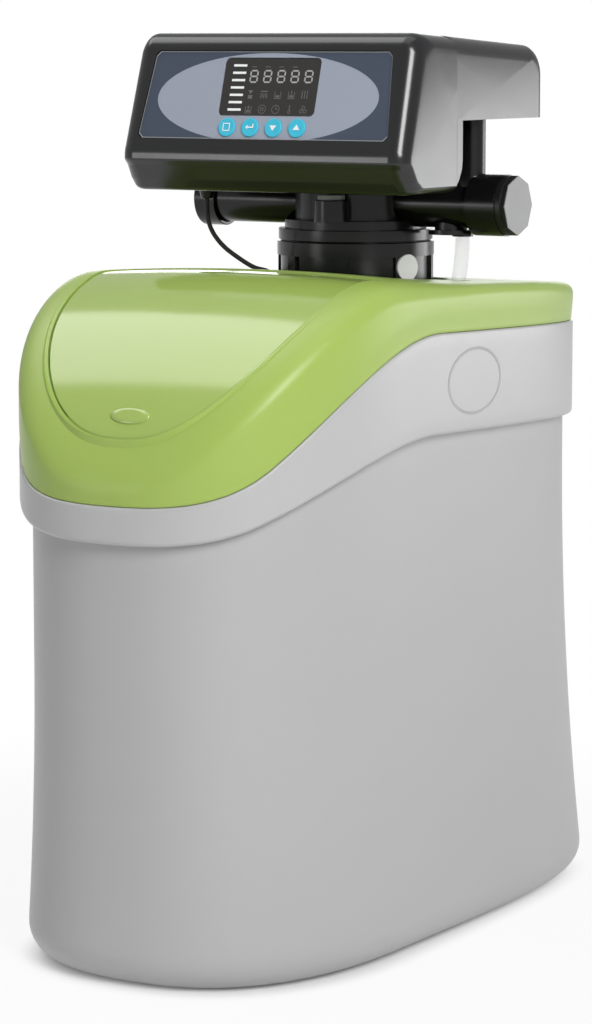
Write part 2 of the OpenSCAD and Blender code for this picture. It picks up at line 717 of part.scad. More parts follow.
module fixed_disc() color("linen") at_valve(disc_z) difference() {
  cylinder(r = disc_r, h = disc_t);
  for (i = [0 : 4]) rotate(i * 72) translate([disc_r * 0.6, 0, -1])
    cylinder(r = disc_r * 0.2, h = disc_t + 2);
}
module moving_disc() color("linen") at_valve(disc_z + disc_t + run_gap) difference() {
  cylinder(r = disc_r - 2, h = disc_t);
  for (i = [0 : 1]) rotate(36 + i * 72) translate([disc_r * 0.55, 0, -1])
    cylinder(r = disc_r * 0.2, h = disc_t - 1);
}

bonnet_t = 10;
screw_r = 2;
module valve_bonnet() color("black") difference() {
  at_valve(bonnet_z) union() {
    cylinder(r = body_r + 4, h = bonnet_t);
    cylinder(r = body_r - 6, h = eaves_z - bonnet_z);
  }
  at_valve(bonnet_z - 1) cylinder(r = disc_r, h = 5.4);
  at_valve(bonnet_z) cylinder(r = spindle_r + run_gap, h = 60);
  for (i = [0 : 3]) at_valve(bonnet_z - 1) rotate(45 + 90 * i) translate([body_r - 1.5, 0, 0])
    cylinder(r = screw_r + seat_gap, h = bonnet_t + 2);
}
module bonnet_screws() color("silver") for (i = [0 : 3])
  at_valve(bonnet_z + 1) rotate(45 + 90 * i) translate([body_r - 1.5, 0, 0]) {
    cylinder(r = screw_r, h = bonnet_t - 1 + seat_gap);
    translate([0, 0, bonnet_t - 1 + seat_gap]) difference() {
      cylinder(r = 1.7 * screw_r, h = 3);
      translate([0, 0, 1.4]) cube([5, 0.9, 4], center = true);
    }
  }

module spindle() color("gray") at_valve(disc_z + 2 * disc_t + run_gap) {
  cylinder(r = disc_r - 6, h = 3);
  cylinder(r = spindle_r, h = gear_z + gear_t + 2 - disc_z - 2 * disc_t);
}

// Straight-flanked spur gear with its first tooth on +X
module spur(teeth, h, bore) {
  pr = gear_module * teeth / 2;
  half = gear_module * 0.69;
  lean = tan(20);
  tip = gear_module;
  root = 1.25 * gear_module;
  function flank(r, side) = [r, side * (half - (r - pr) * (r > pr ? lean : lean / 3))];
  difference() {
    linear_extrude(h) union() {
      circle(r = pr - root);
      for (i = [0 : teeth - 1]) rotate(i * 360 / teeth) polygon([
        [pr - root - 1, -half], flank(pr - root, -1), [pr, -half], flank(pr + tip * 0.9, -1),
        flank(pr + tip * 0.9, 1), [pr, half], flank(pr - root, 1), [pr - root - 1, half]]);
    }
    translate([0, 0, -1]) cylinder(r = bore, h = h + 2);
  }
}
module drive_gear() color("ivory") at_valve(gear_z) spur(gear_teeth, gear_t, spindle_r);
module motor_pinion() color("white") translate([motor_x, valve_y, gear_z]) {
  rotate(180 + 180 / pinion_teeth) spur(pinion_teeth, gear_t, motor_shaft_r - 1);
  translate([0, 0, -0.6]) cylinder(r = motor_shaft_r, h = motor_z - gear_z + 6);
}
module drive_motor() color("gray") translate([motor_x, valve_y, motor_z]) difference() {
  union() {
    cylinder(r = motor_r, h = motor_h);
    for (y = [-1, 1]) translate([0, y * (motor_r - 3), 0]) cylinder(r = 5, h = 2);
  }
  translate([0, 0, -1]) cylinder(r = motor_shaft_r + run_gap, h = 7.4);
}
module chassis_plate() color("dimgray") difference() {
  union() {
    translate([-head_w / 2 + head_wall + seat_gap, -22, plate_z])
      cube([head_w - 2 * head_wall - 2 * seat_gap, head_rear_y - head_wall - 0.8 + 22, plate_t]);
    for (y = [-1, 1]) translate([motor_x, valve_y + y * (motor_r - 3), plate_z])
      cylinder(r = 3, h = motor_z - plate_z - seat_gap);
  }
  at_valve(plate_z - 1) cylinder(r = spindle_r + 2, h = plate_t + 2);
}

module meter_housing() color("black") difference() {
  union() {
    along_x(meter_x0, port_z) cylinder(r = meter_r, h = meter_x1 - meter_x0);
    translate([stem_x, valve_y, port_z]) cylinder(r = stem_r + 1.4, h = meter_r - 1);
  }
  along_x(meter_x0 - 20, port_z) cylinder(r = port_r + seat_gap, h = meter_x1 - meter_x0 + 14.2);
  along_x(meter_x0, port_z) cylinder(r = port_bore_r, h = 40);
  translate([stem_x, valve_y, port_z + port_r + 1]) cylinder(r = stem_r + seat_gap, h = 20);
}
module meter_stem() color("black") translate([stem_x, valve_y, port_z + port_r + 1 + seat_gap])
  cylinder(r = stem_r, h = eaves_z - port_z - port_r - 1 - 2 * seat_gap);
module port_cap() color("dimgray") difference() {
  union() {
    along_x(meter_x1 + seat_gap, port_z) cylinder(r = meter_r - 0.6, h = 3);
    along_x(meter_x1 + seat_gap, port_z)
      cylinder(r = meter_r - 0.6, h = cap_l - seat_gap, $fn = 8);
    along_x(meter_x1 + seat_gap, port_z) cylinder(r = meter_r - 1.6, h = cap_l - 1);
    along_x(meter_x1 - 4, port_z) cylinder(r = port_bore_r - seat_gap, h = 6);
  }
  along_x(meter_x1 - 5, port_z) cylinder(r = port_bore_r - 2, h = 8);
}
module port_nut() color("black") along_x(-port_reach + 0.5, port_z)
  ring_of(port_r + 2.3, port_r + seat_gap, nut_l);
module drain_spigot() color("black")
  translate([0, valve_y + body_r + seat_gap, port_z - 2]) rotate([-90, 0, 0]) difference() {
    union() {
      cylinder(r = drain_r, h = drain_reach - body_r);
      translate([0, 0, 8.2]) cylinder(r = drain_r + 3, h = 4);
    }
    translate([0, 0, -1]) cylinder(r = drain_r - 2, h = drain_reach);
  }
module injector_housing() color("black") difference() {
  union() {
    translate([injector_x, injector_y, body_z + 5.2]) cylinder(r = 9.5, h = 11.8);
    translate([injector_x - 6, injector_y, body_z + 6]) cube([12, valve_y - injector_y - body_r + 2, 9]);
  }
  at_valve(body_z) cylinder(r = body_r + seat_gap, h = body_h);
  translate([injector_x, injector_y, body_z + 9]) cylinder(r = 5, h = 15);
}
module injector_cap() color("dimgray") translate([injector_x, injector_y, body_z + 17 + seat_gap]) {
  cylinder(r = 7.5, h = 3);
  translate([0, 0, -6]) cylinder(r = 5 - seat_gap, h = 7);
}
module brine_elbow() color("black") difference() {
  at_valve(elbow_z) translate([elbow_x, 0, 0]) union() {
    cylinder(r = elbow_flange_r, h = 2.6);
    translate([hose_x - elbow_x, 0, -1]) cylinder(r = hose_r + 1.8, h = 3);
    cylinder(r = 9, h = 8);
  }
  along_x(0, port_z) cylinder(r = port_r + seat_gap, h = port_reach);
  at_valve(elbow_z - 2) translate([hose_x, 0, 0]) cylinder(r = hose_r + seat_gap, h = 5);
}

// Side outline of the head's parts, as points of Y and Z
bezel_side = [[crease_y, crease_z], [head_front_top_y, head_top_z],
  [split_y + 20, head_top_z - head_fall * (split_y + 20 - head_front_top_y)], [split_y + 20, crease_z]];
chin_side = [[crease_y + 9, crease_z + 12], [crease_y + 2, crease_z - 3], [crease_y + 5, crease_z - 8],
  [crease_y + 8.5, crease_z - 12.5], [crease_y + 11, chin_z + 2], [crease_y + 14, chin_z],
  [split_y + 20, chin_z], [split_y + 20, crease_z + 12]];
roof_r = 20;
roof_lift = 1.2;
function roof_z(y) = head_top_z + roof_lift - head_fall * (y - head_front_top_y);
cover_side = concat(
  [[split_y - 20, eaves_z - 12], [split_y - 20, roof_z(split_y - 20)]],
  [for (a = [90 : -15 : 0])
    [head_rear_y - roof_r * (1 - cos(a)), roof_z(head_rear_y - roof_r) - roof_r * (1 - sin(a))]],
  [[head_rear_y, eaves_z - 12]]);

// Slab of a side outline across the head, with its long edges rounded
module head_slab(side, r, shrink) {
  hull() for (a = [0 : 30 : 90]) {
    inset = r * (1 - cos(a)) + shrink;
    half = head_w / 2 - shrink - r * (1 - sin(a));
    rotate([90, 0, 90]) translate([0, 0, -half]) linear_extrude(2 * half)
      offset(delta = -inset, $fn = 16) polygon(side);
  }
}
module before(y) { translate([-head_w, y - 400, chin_z - 100]) cube([2 * head_w, 400, 300]); }
module behind(y) { translate([-head_w, y, chin_z - 100]) cube([2 * head_w, 400, 300]); }

chin_r = 3;
boss_spots = [for (x = [-62, 62], y = [-15, 15]) [x, y]];
board_drop = 8;
module front_case() color("black") difference() {
  union() {
    difference() {
      intersection() {
        union() {
          head_slab(bezel_side, head_r, 0);
          head_slab(chin_side, chin_r, 0);
        }
        before(split_y);
      }
      intersection() {
        union() {
          head_slab(bezel_side, head_r - head_wall, head_wall);
          head_slab(chin_side, chin_r - head_wall, head_wall);
        }
        before(split_y + 1);
      }
    }
    intersection() {
      on_panel() translate([0, 0, -panel_t - 2]) panel_plate(head_wall, panel_t + 2);
      head_slab(bezel_side, head_r, 0.5);
    }
    for (p = boss_spots) on_panel() translate([p.x, p.y, -board_drop + seat_gap])
      cylinder(r = 3, h = board_drop - panel_t - 1);
  }
  on_panel() translate([0, 0, -panel_t - seat_gap]) panel_plate(seat_gap, 20);
  on_panel() translate([window_x, window_s, -20]) plate(window_w - 4, window_h - 4, 20, 2);
  on_panel() translate([0, button_s, -20])
    plate(3 * button_pitch + 2 * button_r + 5, 2 * button_r + 3.2, 20, 3);
  translate([gland_x, gland_y, chin_z - 5]) cylinder(r = 3 + seat_gap, h = 10);
}

module rear_cover() color("black") difference() {
  union() {
    difference() {
      intersection() {
        head_slab(cover_side, roof_edge_r, 0);
        behind(split_y + seat_gap);
        translate([-head_w, split_y, eaves_z]) cube([2 * head_w, 200, 100]);
      }
      head_slab(cover_side, roof_edge_r - head_wall, head_wall);
    }
    for (x = [-head_w / 2, head_w / 2 - head_wall]) translate([x, 0, 0])
      rotate([90, 0, 90]) linear_extrude(head_wall) polygon([[split_y + seat_gap, chin_z + 1],
        [split_y + 3, chin_z + 4], [split_y + 5.6, chin_z + 9], [split_y + 6.4, chin_z + 14],
        [split_y + 6.4, eaves_z + 1], [split_y + seat_gap, eaves_z + 1]]);
  }
}

module button_row() {
  for (i = [0 : 3]) translate([(i - 1.5) * button_pitch, button_s, 0]) children();
}
module display_panel() color("slategray") on_panel() translate([0, 0, -panel_t]) difference() {
  panel_plate(0, panel_t);
  translate([window_x, window_s, -1])
    plate(window_w + 2 * seat_gap, window_h + 2 * seat_gap, panel_t + 2, 3);
  translate([0, 0, -1]) button_row() cylinder(r = button_r + run_gap, h = panel_t + 2);
}
module display_window() color("black") on_panel() translate([window_x, window_s, -panel_t])
  plate(window_w, window_h, panel_t - 0.3, 3);
module circuit_board() color("darkgreen") on_panel() translate([0, 0, -board_drop - 1.6]) {
  plate(panel_w - panel_taper - 12, panel_h - 6, 1.6, 2);
  translate([window_x, window_s, 1.6]) plate(window_w - 6, window_h - 6, board_drop - panel_t - seat_gap, 1);
}
module key_switches() color("gray") on_panel() translate([0, 0, -board_drop]) button_row() {
  translate([-3, -3, 0]) cube([6, 6, 0.6]);
  cylinder(r = 1.6, h = board_drop - 6 - button_travel - seat_gap);
}
module button(i) {
  on_panel() translate([(i - 1.5) * button_pitch, button_s, 0]) {
    translate([0, 0, -6]) cylinder(r = button_r - 1.4, h = 4);
    translate([0, 0, -panel_t - 1.4]) cylinder(r = button_r + 1, h = 1.4 - seat_gap);
    translate([0, 0, -panel_t - 1]) cylinder(r = button_r, h = panel_t + 2);
  }
}
module menu_button() color("deepskyblue") button(0);
module set_button() color("deepskyblue") button(1);
module down_button() color("deepskyblue") button(2);
module up_button() color("deepskyblue") button(3);

module brine_well() color("whitesmoke") at_well(tub_floor + well_lift) difference() {
  ring_of(well_r, well_r - well_wall, well_top_z - tub_floor - well_lift);
  for (i = [0 : 5]) rotate(i * 60) translate([well_r - 2 * well_wall, -well_slot_w / 2, well_slot_z])
    cube([4 * well_wall, well_slot_w, well_slot_h]);
}
module well_cap() color("gray") at_well(well_top_z + 2 * seat_gap) difference() {
  union() {
    cylinder(r = well_r + 1, h = 3);
    translate([0, 0, -4]) cylinder(r = well_r - well_wall - seat_gap, h = 5);
  }
  translate([0, 0, -5]) cylinder(r = pickup_r + seat_gap, h = 10);
}
module brine_pickup() color("white") at_well(0) difference() {
  union() {
    translate([0, 0, tub_floor + 8]) cylinder(r = pickup_r, h = well_top_z - tub_floor - 4);
    translate([0, 0, tub_floor + seat_gap]) cylinder(r = 13, h = 24);
    translate([0, 0, float_low_z - 3 - seat_gap]) cylinder(r = pickup_r + 3, h = 3);
    translate([0, 0, float_low_z + float_h + float_travel + seat_gap]) cylinder(r = pickup_r + 3, h = 3);
    translate([0, 0, well_top_z + 3 + 3 * seat_gap]) cylinder(r = hose_r + 3, h = 8);
  }
  translate([0, 0, well_top_z - 2]) cylinder(r = hose_r + seat_gap, h = 20);
  translate([0, 0, tub_floor + 10]) cylinder(r = pickup_r - 2, h = well_top_z);
}
module brine_float() color("orange") at_well(float_low_z) ring_of(float_r, pickup_r + run_gap, float_h);
module brine_hose() color("azure") cord(hose_route, hose_r, [1, 0, 0]);

module cable_gland() color("black") translate([gland_x, gland_y, chin_z - 6]) difference() {
  union() {
    cylinder(r1 = 3.2, r2 = 4.6, h = 6 - seat_gap);
    cylinder(r = 3, h = 9);
  }
  translate([0, 0, -1]) cylinder(r = lead_r + seat_gap, h = 8);
}
module control_lead() color("black") cord(lead_route, lead_r, [0, 1, 0]);
module lead_socket() color("black") at_valve(adapter_z) rotate(socket_angle) difference() {
  translate([collar_r - 2.2 + seat_gap, -4, 0]) cube([11, 8, 10]);
  translate([48.8, 0, 3.5]) cylinder(r = lead_r + seat_gap, h = 10);
}

brine_tub();
cabinet_collar();
top_cover();
salt_hatch();
hatch_pins();
pressure_vessel();
vessel_boot();
riser_tube();
lower_strainer();
upper_strainer();
resin_bed();
neck_collar();
neck_plug();
valve_base();
neck_seal();
valve_body();
fixed_disc();
moving_disc();
valve_bonnet();
bonnet_screws();
spindle();
drive_gear();
motor_pinion();
drive_motor();
chassis_plate();
meter_housing();
meter_stem();
port_cap();
port_nut();
drain_spigot();
injector_housing();
injector_cap();
brine_elbow();
front_case();
rear_cover();
display_panel();
display_window();
circuit_board();
key_switches();
menu_button();
set_button();
down_button();
up_button();
brine_well();
well_cap();
brine_pickup();
brine_float();
brine_hose();
cable_gland();
control_lead();
lead_socket();
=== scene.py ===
import bpy
import math
from mathutils import Matrix, Vector


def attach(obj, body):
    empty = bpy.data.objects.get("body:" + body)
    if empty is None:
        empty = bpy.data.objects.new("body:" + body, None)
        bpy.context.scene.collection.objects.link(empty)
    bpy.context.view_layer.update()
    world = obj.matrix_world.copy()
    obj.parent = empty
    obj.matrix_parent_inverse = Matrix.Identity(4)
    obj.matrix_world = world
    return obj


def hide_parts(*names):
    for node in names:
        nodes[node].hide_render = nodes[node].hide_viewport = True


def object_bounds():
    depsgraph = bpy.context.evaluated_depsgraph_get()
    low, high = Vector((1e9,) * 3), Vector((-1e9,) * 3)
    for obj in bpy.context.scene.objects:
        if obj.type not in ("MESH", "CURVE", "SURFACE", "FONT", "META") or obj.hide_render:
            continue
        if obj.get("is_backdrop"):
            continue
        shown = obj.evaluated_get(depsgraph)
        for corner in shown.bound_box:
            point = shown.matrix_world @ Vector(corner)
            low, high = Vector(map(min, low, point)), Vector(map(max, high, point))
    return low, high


mm = 0.001
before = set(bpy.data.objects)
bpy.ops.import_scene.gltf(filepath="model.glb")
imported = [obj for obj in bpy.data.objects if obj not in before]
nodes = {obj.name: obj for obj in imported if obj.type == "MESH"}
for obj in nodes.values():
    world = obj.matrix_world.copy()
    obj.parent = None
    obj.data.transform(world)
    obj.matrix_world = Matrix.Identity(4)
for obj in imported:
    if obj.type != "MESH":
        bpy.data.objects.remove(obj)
cadBox = [list(corner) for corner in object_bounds()]
print("frame loaded:", len(nodes), "nodes")


# hands: selecting, laying out, finishing

def clearPick():
    if bpy.context.object and bpy.context.object.mode != "OBJECT":
        bpy.ops.object.mode_set(mode="OBJECT")
    bpy.ops.object.select_all(action="DESELECT")


def pick(piece):
    clearPick()
    piece.select_set(True)
    bpy.context.view_layer.objects.active = piece


def openMesh(piece, mode="VERT", everything=True):
    pick(piece)
    bpy.ops.object.mode_set(mode="EDIT")
    bpy.ops.mesh.select_mode(type=mode)
    bpy.ops.mesh.select_all(action="SELECT" if everything else "DESELECT")


def closeMesh():
    bpy.ops.object.mode_set(mode="OBJECT")


def weld(piece, gap=2e-6):
    openMesh(piece)
    bpy.ops.mesh.remove_doubles(threshold=gap)
    bpy.ops.mesh.normals_make_consistent(inside=False)
    closeMesh()


def finishWith(piece, kind, **values):
    pick(piece)
    mod = piece.modifiers.new(kind.title(), kind)
    for key, value in values.items():
        setattr(mod, key, value)
    bpy.ops.object.modifier_apply(modifier=mod.name)


def softEdge(piece, width, segments=2, degrees=45):
    finishWith(piece, "BEVEL", width=width * mm, segments=segments, limit_method="ANGLE",
               angle_limit=math.radians(degrees))


def smoothBy(piece, degrees=35):
    pick(piece)
    bpy.ops.object.shade_smooth_by_angle(angle=math.radians(degrees))


def joinInto(piece, *others):
    pick(piece)
    for other in others:
        other.select_set(True)
    bpy.ops.object.join()
    return piece


def cutWith(piece, cutter, how="DIFFERENCE"):
    finishWith(piece, "BOOLEAN", operation=how, object=cutter, solver="EXACT")
    bpy.data.objects.remove(cutter)


def named(name):
    piece = bpy.context.object
    piece.name = piece.data.name = name
    return piece


def layRows(name, rows):  # a closed band: a grid whose points are moved to the rows, in millimetres
    clearPick()
    around, up = len(rows[0]), len(rows) - 1
    bpy.ops.mesh.primitive_grid_add(x_subdivisions=around, y_subdivisions=up, size=2)
    piece = named(name)
    for vert in piece.data.vertices:
        col = round((vert.co.x + 1) / 2 * around) % around
        row = round((vert.co.y + 1) / 2 * up)
        vert.co = Vector(rows[row][col]) * mm
    return piece


def placeMesh(piece, matrix):
    piece.data.transform(matrix)
    piece.matrix_world = Matrix.Identity(4)


def settle(piece, body, slot, *stands):
    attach(piece, body)
    if stands:
        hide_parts(*stands)
    return piece


# camera

cameraSet = {"place": (0.9851, -1.6478, 0.4861), "pitch": 7.71, "turn": 31,
             "focalPixels": 3484.3, "tallPixels": 1024, "sensor": 36}
clearPick()
lean = (math.radians(90 - cameraSet["pitch"]), 0, math.radians(cameraSet["turn"]))
bpy.ops.object.camera_add(location=cameraSet["place"], rotation=lean)
photoCamera = bpy.context.object
photoCamera.data.sensor_fit = "VERTICAL"
photoCamera.data.sensor_height = cameraSet["sensor"]
photoCamera.data.lens = cameraSet["sensor"] * cameraSet["focalPixels"] / cameraSet["tallPixels"]
bpy.context.scene.camera = photoCamera
bpy.context.scene.view_settings.view_transform = "Standard"
print("camera set")


# node hands

def feed(tree, node, inputs):  # each input takes a value, or a link where a socket is given
    for label, value in inputs.items():
        if hasattr(value, "is_linked"):
            tree.links.new(value, node.inputs[label])
        else:
            node.inputs[label].default_value = value
    return node


def addNode(tree, kind, inputs=None, **traits):
    node = tree.nodes.new("ShaderNode" + kind)
    for key, value in traits.items():
        setattr(node, key, value)
    return feed(tree, node, inputs or {})


def mathNode(tree, how, *values):
    return addNode(tree, "Math", dict(enumerate(values)), operation=how).outputs[0]


def objectSpot(tree):
    return addNode(tree, "TexCoord").outputs["Object"]


def noiseAt(tree, spot, scale, detail=2, distortion=0):
    values = {"Vector": spot, "Scale": scale, "Detail": detail, "Distortion": distortion}
    return addNode(tree, "TexNoise", values).outputs["Fac"]


def mixColor(tree, share, first, second):
    return addNode(tree, "Mix", {0: share, 6: first, 7: second}, data_type="RGBA").outputs[2]


def seenBy(tree, rays):  # 1 on camera rays and on the other kinds named
    path = addNode(tree, "LightPath").outputs
    total = path["Is Camera Ray"]
    for label in rays:
        total = mathNode(tree, "MAXIMUM", total, path[label])
    return total


# light, floor and background

lightSet = {  # place, aim, size in metres, watts
    "lidSoftbox": ((-0.9, -0.06, 1.66), (0, -0.12, 0.35), (0.88, 1.1), 8),
    "rightKey": ((1.5, -1.08, 1.3), (0, -0.03, 0.28), (0.7, 1.0), 30),
    "rightRear": ((0.99, 1.45, 0.32), (0.05, 0.04, 0.42), (0.9, 0.27), 3.5),
    "backLeft": ((-0.95, 1.6, 0.6), (0, -0.05, 0.38), (1.2, 0.5), 4),
    "overhead": ((0.1, -0.1, 2.2), (0, -0.1, 0.3), (1.4, 1.4), 6),
    "lipStrip": ((-0.97, -1.66, 0.45), (0, -0.05, 0.42), (0.5, 0.3), 2.1),
}
for name, (place, aim, size, watts) in lightSet.items():
    clearPick()
    turn = (Vector(aim) - Vector(place)).to_track_quat("-Z", "Y").to_euler()
    bpy.ops.object.light_add(type="AREA", location=place, rotation=turn)
    softbox = bpy.context.object
    softbox.name = name
    softbox.data.shape = "RECTANGLE"
    softbox.data.size, softbox.data.size_y = size
    softbox.data.energy = watts

worldSet = {"fill": 0.08, "gloss": 0.55, "tint": (0.98, 0.99, 1, 1), "white": (1, 1, 1, 1)}


def makeWorld():  # white where it is seen, weaker in gloss, a faint fill for the rest
    world = bpy.data.worlds.new("studioWorld")
    bpy.context.scene.world = world
    world.use_nodes = True
    tree = world.node_tree
    tree.nodes.clear()
    glossy = addNode(tree, "LightPath").outputs["Is Glossy Ray"]
    level = addNode(tree, "MapRange", {"Value": glossy, "To Min": worldSet["fill"], "To Max": worldSet["gloss"]})
    fill = addNode(tree, "Background", {"Color": worldSet["tint"], "Strength": level.outputs["Result"]})
    white = addNode(tree, "Background", {"Color": worldSet["white"]})
    seen = seenBy(tree, ["Is Transmission Ray"])
    mix = addNode(tree, "MixShader", {0: seen, 1: fill.outputs[0], 2: white.outputs[0]})
    addNode(tree, "OutputWorld", {"Surface": mix.outputs[0]})


makeWorld()

floorSet = {
    "size": 12, "under": -0.0006, "grey": (0.9, 0.9, 0.9, 1),
    "behind": 0.0558, "halfWidth": 0.105, "reach": (0.139, 0.254), "power": (2.44, 4.64),
    # close to the tub's outline the floor's glow drops: painted shade around the tub, over the true shadow
    "shadeNearTub": {"From Min": 0.84, "From Max": 1.05, "To Min": 0.1, "To Max": 0.9},
    "farAway": {"From Min": 0.25, "From Max": 0.6, "To Min": 0, "To Max": 0.1},
}


def makeFloor():  # white away from the tub; close to its outline the glow is turned down, a painted shade ring in which the true shadow also shows
    clearPick()
    bpy.ops.mesh.primitive_plane_add(size=floorSet["size"], location=(0, 0, floorSet["under"]))
    floor = named("studioFloor")
    paint = bpy.data.materials.new("studioFloor")
    paint.use_nodes = True
    tree = paint.node_tree
    tree.nodes.clear()

    def calc(how, *values):
        return mathNode(tree, how, *values)

    def ramp(value, key):
        node = addNode(tree, "MapRange", {"Value": value, **floorSet[key]}, interpolation_type="SMOOTHSTEP")
        return node.outputs["Result"]

    spot = objectSpot(tree)
    away = addNode(tree, "VectorMath", {0: spot}, operation="LENGTH").outputs["Value"]
    part = addNode(tree, "SeparateXYZ", {0: spot}).outputs
    along = calc("ADD", part["Y"], floorSet["behind"])
    isRear = calc("GREATER_THAN", along, 0)
    power, reach = (calc("MULTIPLY_ADD", isRear, rear - front, front)
                    for front, rear in (floorSet["power"], floorSet["reach"]))
    across = calc("POWER", calc("DIVIDE", calc("ABSOLUTE", part["X"]), floorSet["halfWidth"]), power)
    deep = calc("POWER", calc("DIVIDE", calc("ABSOLUTE", along), reach), power)
    ring = calc("POWER", calc("ADD", across, deep), calc("DIVIDE", 1, power))
    fade = calc("ADD", ramp(ring, "shadeNearTub"), ramp(away, "farAway"))
    share = calc("MULTIPLY", seenBy(tree, ["Is Glossy Ray", "Is Transmission Ray"]), fade)
    matt = addNode(tree, "BsdfDiffuse", {"Color": floorSet["grey"]})
    glow = addNode(tree, "Emission")
    mix = addNode(tree, "MixShader", {0: share, 1: matt.outputs[0], 2: glow.outputs[0]})
    addNode(tree, "OutputMaterial", {"Surface": mix.outputs[0]})
    floor.data.materials.append(paint)
    floor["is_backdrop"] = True


makeFloor()
print("studio lit")


# finishes: two shared groups, then one material for each slot

def newGroup(name, inlets, outlets):
    group = bpy.data.node_groups.new(name, "ShaderNodeTree")
    for label, kind, value in inlets:
        socket = group.interface.new_socket(label, in_out="INPUT", socket_type=kind)
        socket.default_value = value
    for label, kind in outlets:
        group.interface.new_socket(label, in_out="OUTPUT", socket_type=kind)
    return group, group.nodes.new("NodeGroupInput").outputs, group.nodes.new("NodeGroupOutput")


def mouldGroup():  # fine moulding grain, slow tone drift and faint handling marks
    group, inlet, outlet = newGroup(
        "mouldedSkin",
        [("Color", "NodeSocketColor", (0.5, 0.5, 0.5, 1)), ("Drift", "NodeSocketFloat", 0.06),
         ("Grain", "NodeSocketFloat", 2200.0), ("Roughness", "NodeSocketFloat", 0.4),
         ("Marks", "NodeSocketFloat", 0.05)],
        [("Color", "NodeSocketColor"), ("Roughness", "NodeSocketFloat"), ("Height", "NodeSocketFloat")])
    spot = objectSpot(group)
    grain = noiseAt(group, spot, scale=inlet["Grain"], detail=3)
    slow = noiseAt(group, spot, scale=9, detail=4)
    smear = noiseAt(group, spot, scale=60, detail=5, distortion=0.6)
    lean = mathNode(group, "SUBTRACT", slow, 0.5)
    gain = mathNode(group, "MULTIPLY_ADD", lean, inlet["Drift"], 1.0)
    tint = addNode(group, "VectorMath", {0: inlet["Color"], "Scale": gain}, operation="SCALE")
    rub = mathNode(group, "SUBTRACT", smear, 0.5)
    rough = mathNode(group, "MULTIPLY_ADD", rub, inlet["Marks"], inlet["Roughness"])
    feed(group, outlet, {"Color": tint.outputs[0], "Roughness": rough, "Height": grain})
    return group


def ovalGroup():  # 1 on the line of a unit oval, fading to both sides, and 1 inside it
    group, inlet, outlet = newGroup(
        "ovalMask",
        [("Vector", "NodeSocketVector", (0, 0, 0)), ("Width", "NodeSocketFloat", 0.04)],
        [("Line", "NodeSocketFloat"), ("Inside", "NodeSocketFloat")])
    span = addNode(group, "VectorMath", {0: inlet["Vector"]}, operation="LENGTH").outputs["Value"]
    away = mathNode(group, "ABSOLUTE", mathNode(group, "SUBTRACT", span, 1.0))
    line = mathNode(group, "SUBTRACT", 1.0, mathNode(group, "DIVIDE", away, inlet["Width"]))
    line.node.use_clamp = True
    feed(group, outlet, {"Line": line, "Inside": mathNode(group, "LESS_THAN", span, 1.0)})
    return group


mouldedSkin = mouldGroup()
ovalMask = ovalGroup()


def newFinish(name):
    paint = bpy.data.materials.new(name)
    paint.use_nodes = True
    return paint, paint.node_tree, paint.node_tree.nodes["Principled BSDF"]


def plastic(name, color, rough, grain=2200, depth=0.02, drift=0.06, marks=0.05, coat=0, metal=0, specular=0.5):
    paint, tree, shader = newFinish(name)
    values = {"Color": (*color, 1), "Roughness": rough, "Grain": grain, "Drift": drift, "Marks": marks}
    skin = addNode(tree, "Group", values, node_tree=mouldedSkin, name="skin").outputs
    relief = {"Strength": depth * 10, "Distance": 0.0001, "Height": skin["Height"]}
    bump = addNode(tree, "Bump", relief, name="bump")
    feed(tree, shader, {
        "Base Color": skin["Color"], "Roughness": skin["Roughness"], "Normal": bump.outputs["Normal"],
        "Coat Weight": coat, "Coat Roughness": 0.12, "Metallic": metal, "Specular IOR Level": specular})
    return paint


finishSet = {
    "tub_grey": dict(color=(0.5, 0.5, 0.5), rough=0.42, depth=0.03, drift=0.05),
    "collar_grey": dict(color=(0.54, 0.54, 0.54), rough=0.36, depth=0.02, drift=0.04),
    "leaf_green": dict(color=(0.4, 0.55, 0.12), rough=0.13, depth=0.004, drift=0.05, marks=0.03, specular=0.75),
    "satin_green": dict(color=(0.4, 0.55, 0.12), rough=0.36, depth=0.004, drift=0.05, marks=0.03, specular=0.38),
    "black_gloss": dict(color=(0.006, 0.006, 0.007), rough=0.2, depth=0.006, specular=0.62),
    "black_matt": dict(color=(0.006, 0.006, 0.006), rough=0.22, depth=0.012, grain=1500, specular=0.36),
    "display_black": dict(color=(0.03, 0.028, 0.026), rough=0.16, depth=0.002, marks=0.05),
    "button_cyan": dict(color=(0.06, 0.58, 0.8), rough=0.35, depth=0.01),
    "white_plastic": dict(color=(0.86, 0.86, 0.85), rough=0.4, depth=0.02),
    "cap_grey": dict(color=(0.3, 0.3, 0.31), rough=0.4, depth=0.03),
    "steel": dict(color=(0.55, 0.55, 0.56), rough=0.32, depth=0.02, grain=900, metal=1),
    "ceramic": dict(color=(0.78, 0.74, 0.66), rough=0.18, depth=0.004),
    "resin_amber": dict(color=(0.42, 0.2, 0.04), rough=0.5, grain=700, depth=0.12, drift=0.3),
    "seal_rubber": dict(color=(0.02, 0.02, 0.02), rough=0.65, depth=0.03),
    "board_green": dict(color=(0.02, 0.13, 0.05), rough=0.38, depth=0.02, drift=0.15),
}
finishes = {name: plastic(name, **values) for name, values in finishSet.items()}


def ovalAt(tree, centre, half, turn=(0, 0, 0), width=0.04):  # mapping to an oval of the given half sizes
    values = {"Vector": objectSpot(tree), "Location": centre, "Rotation": turn, "Scale": half}
    place = addNode(tree, "Mapping", values, vector_type="TEXTURE")
    return addNode(tree, "Group", {"Vector": place.outputs[0], "Width": width}, node_tree=ovalMask).outputs


collarOval = {"centre": (0, 0.009, 0.304), "half": (100, 0.03, 0.0175), "lineWidth": 0.05,
              "strength": 0.6, "deep": 0.0008, "grooveShade": (0.42, 0.42, 0.43, 1), "grooveShadeShare": 0.16}


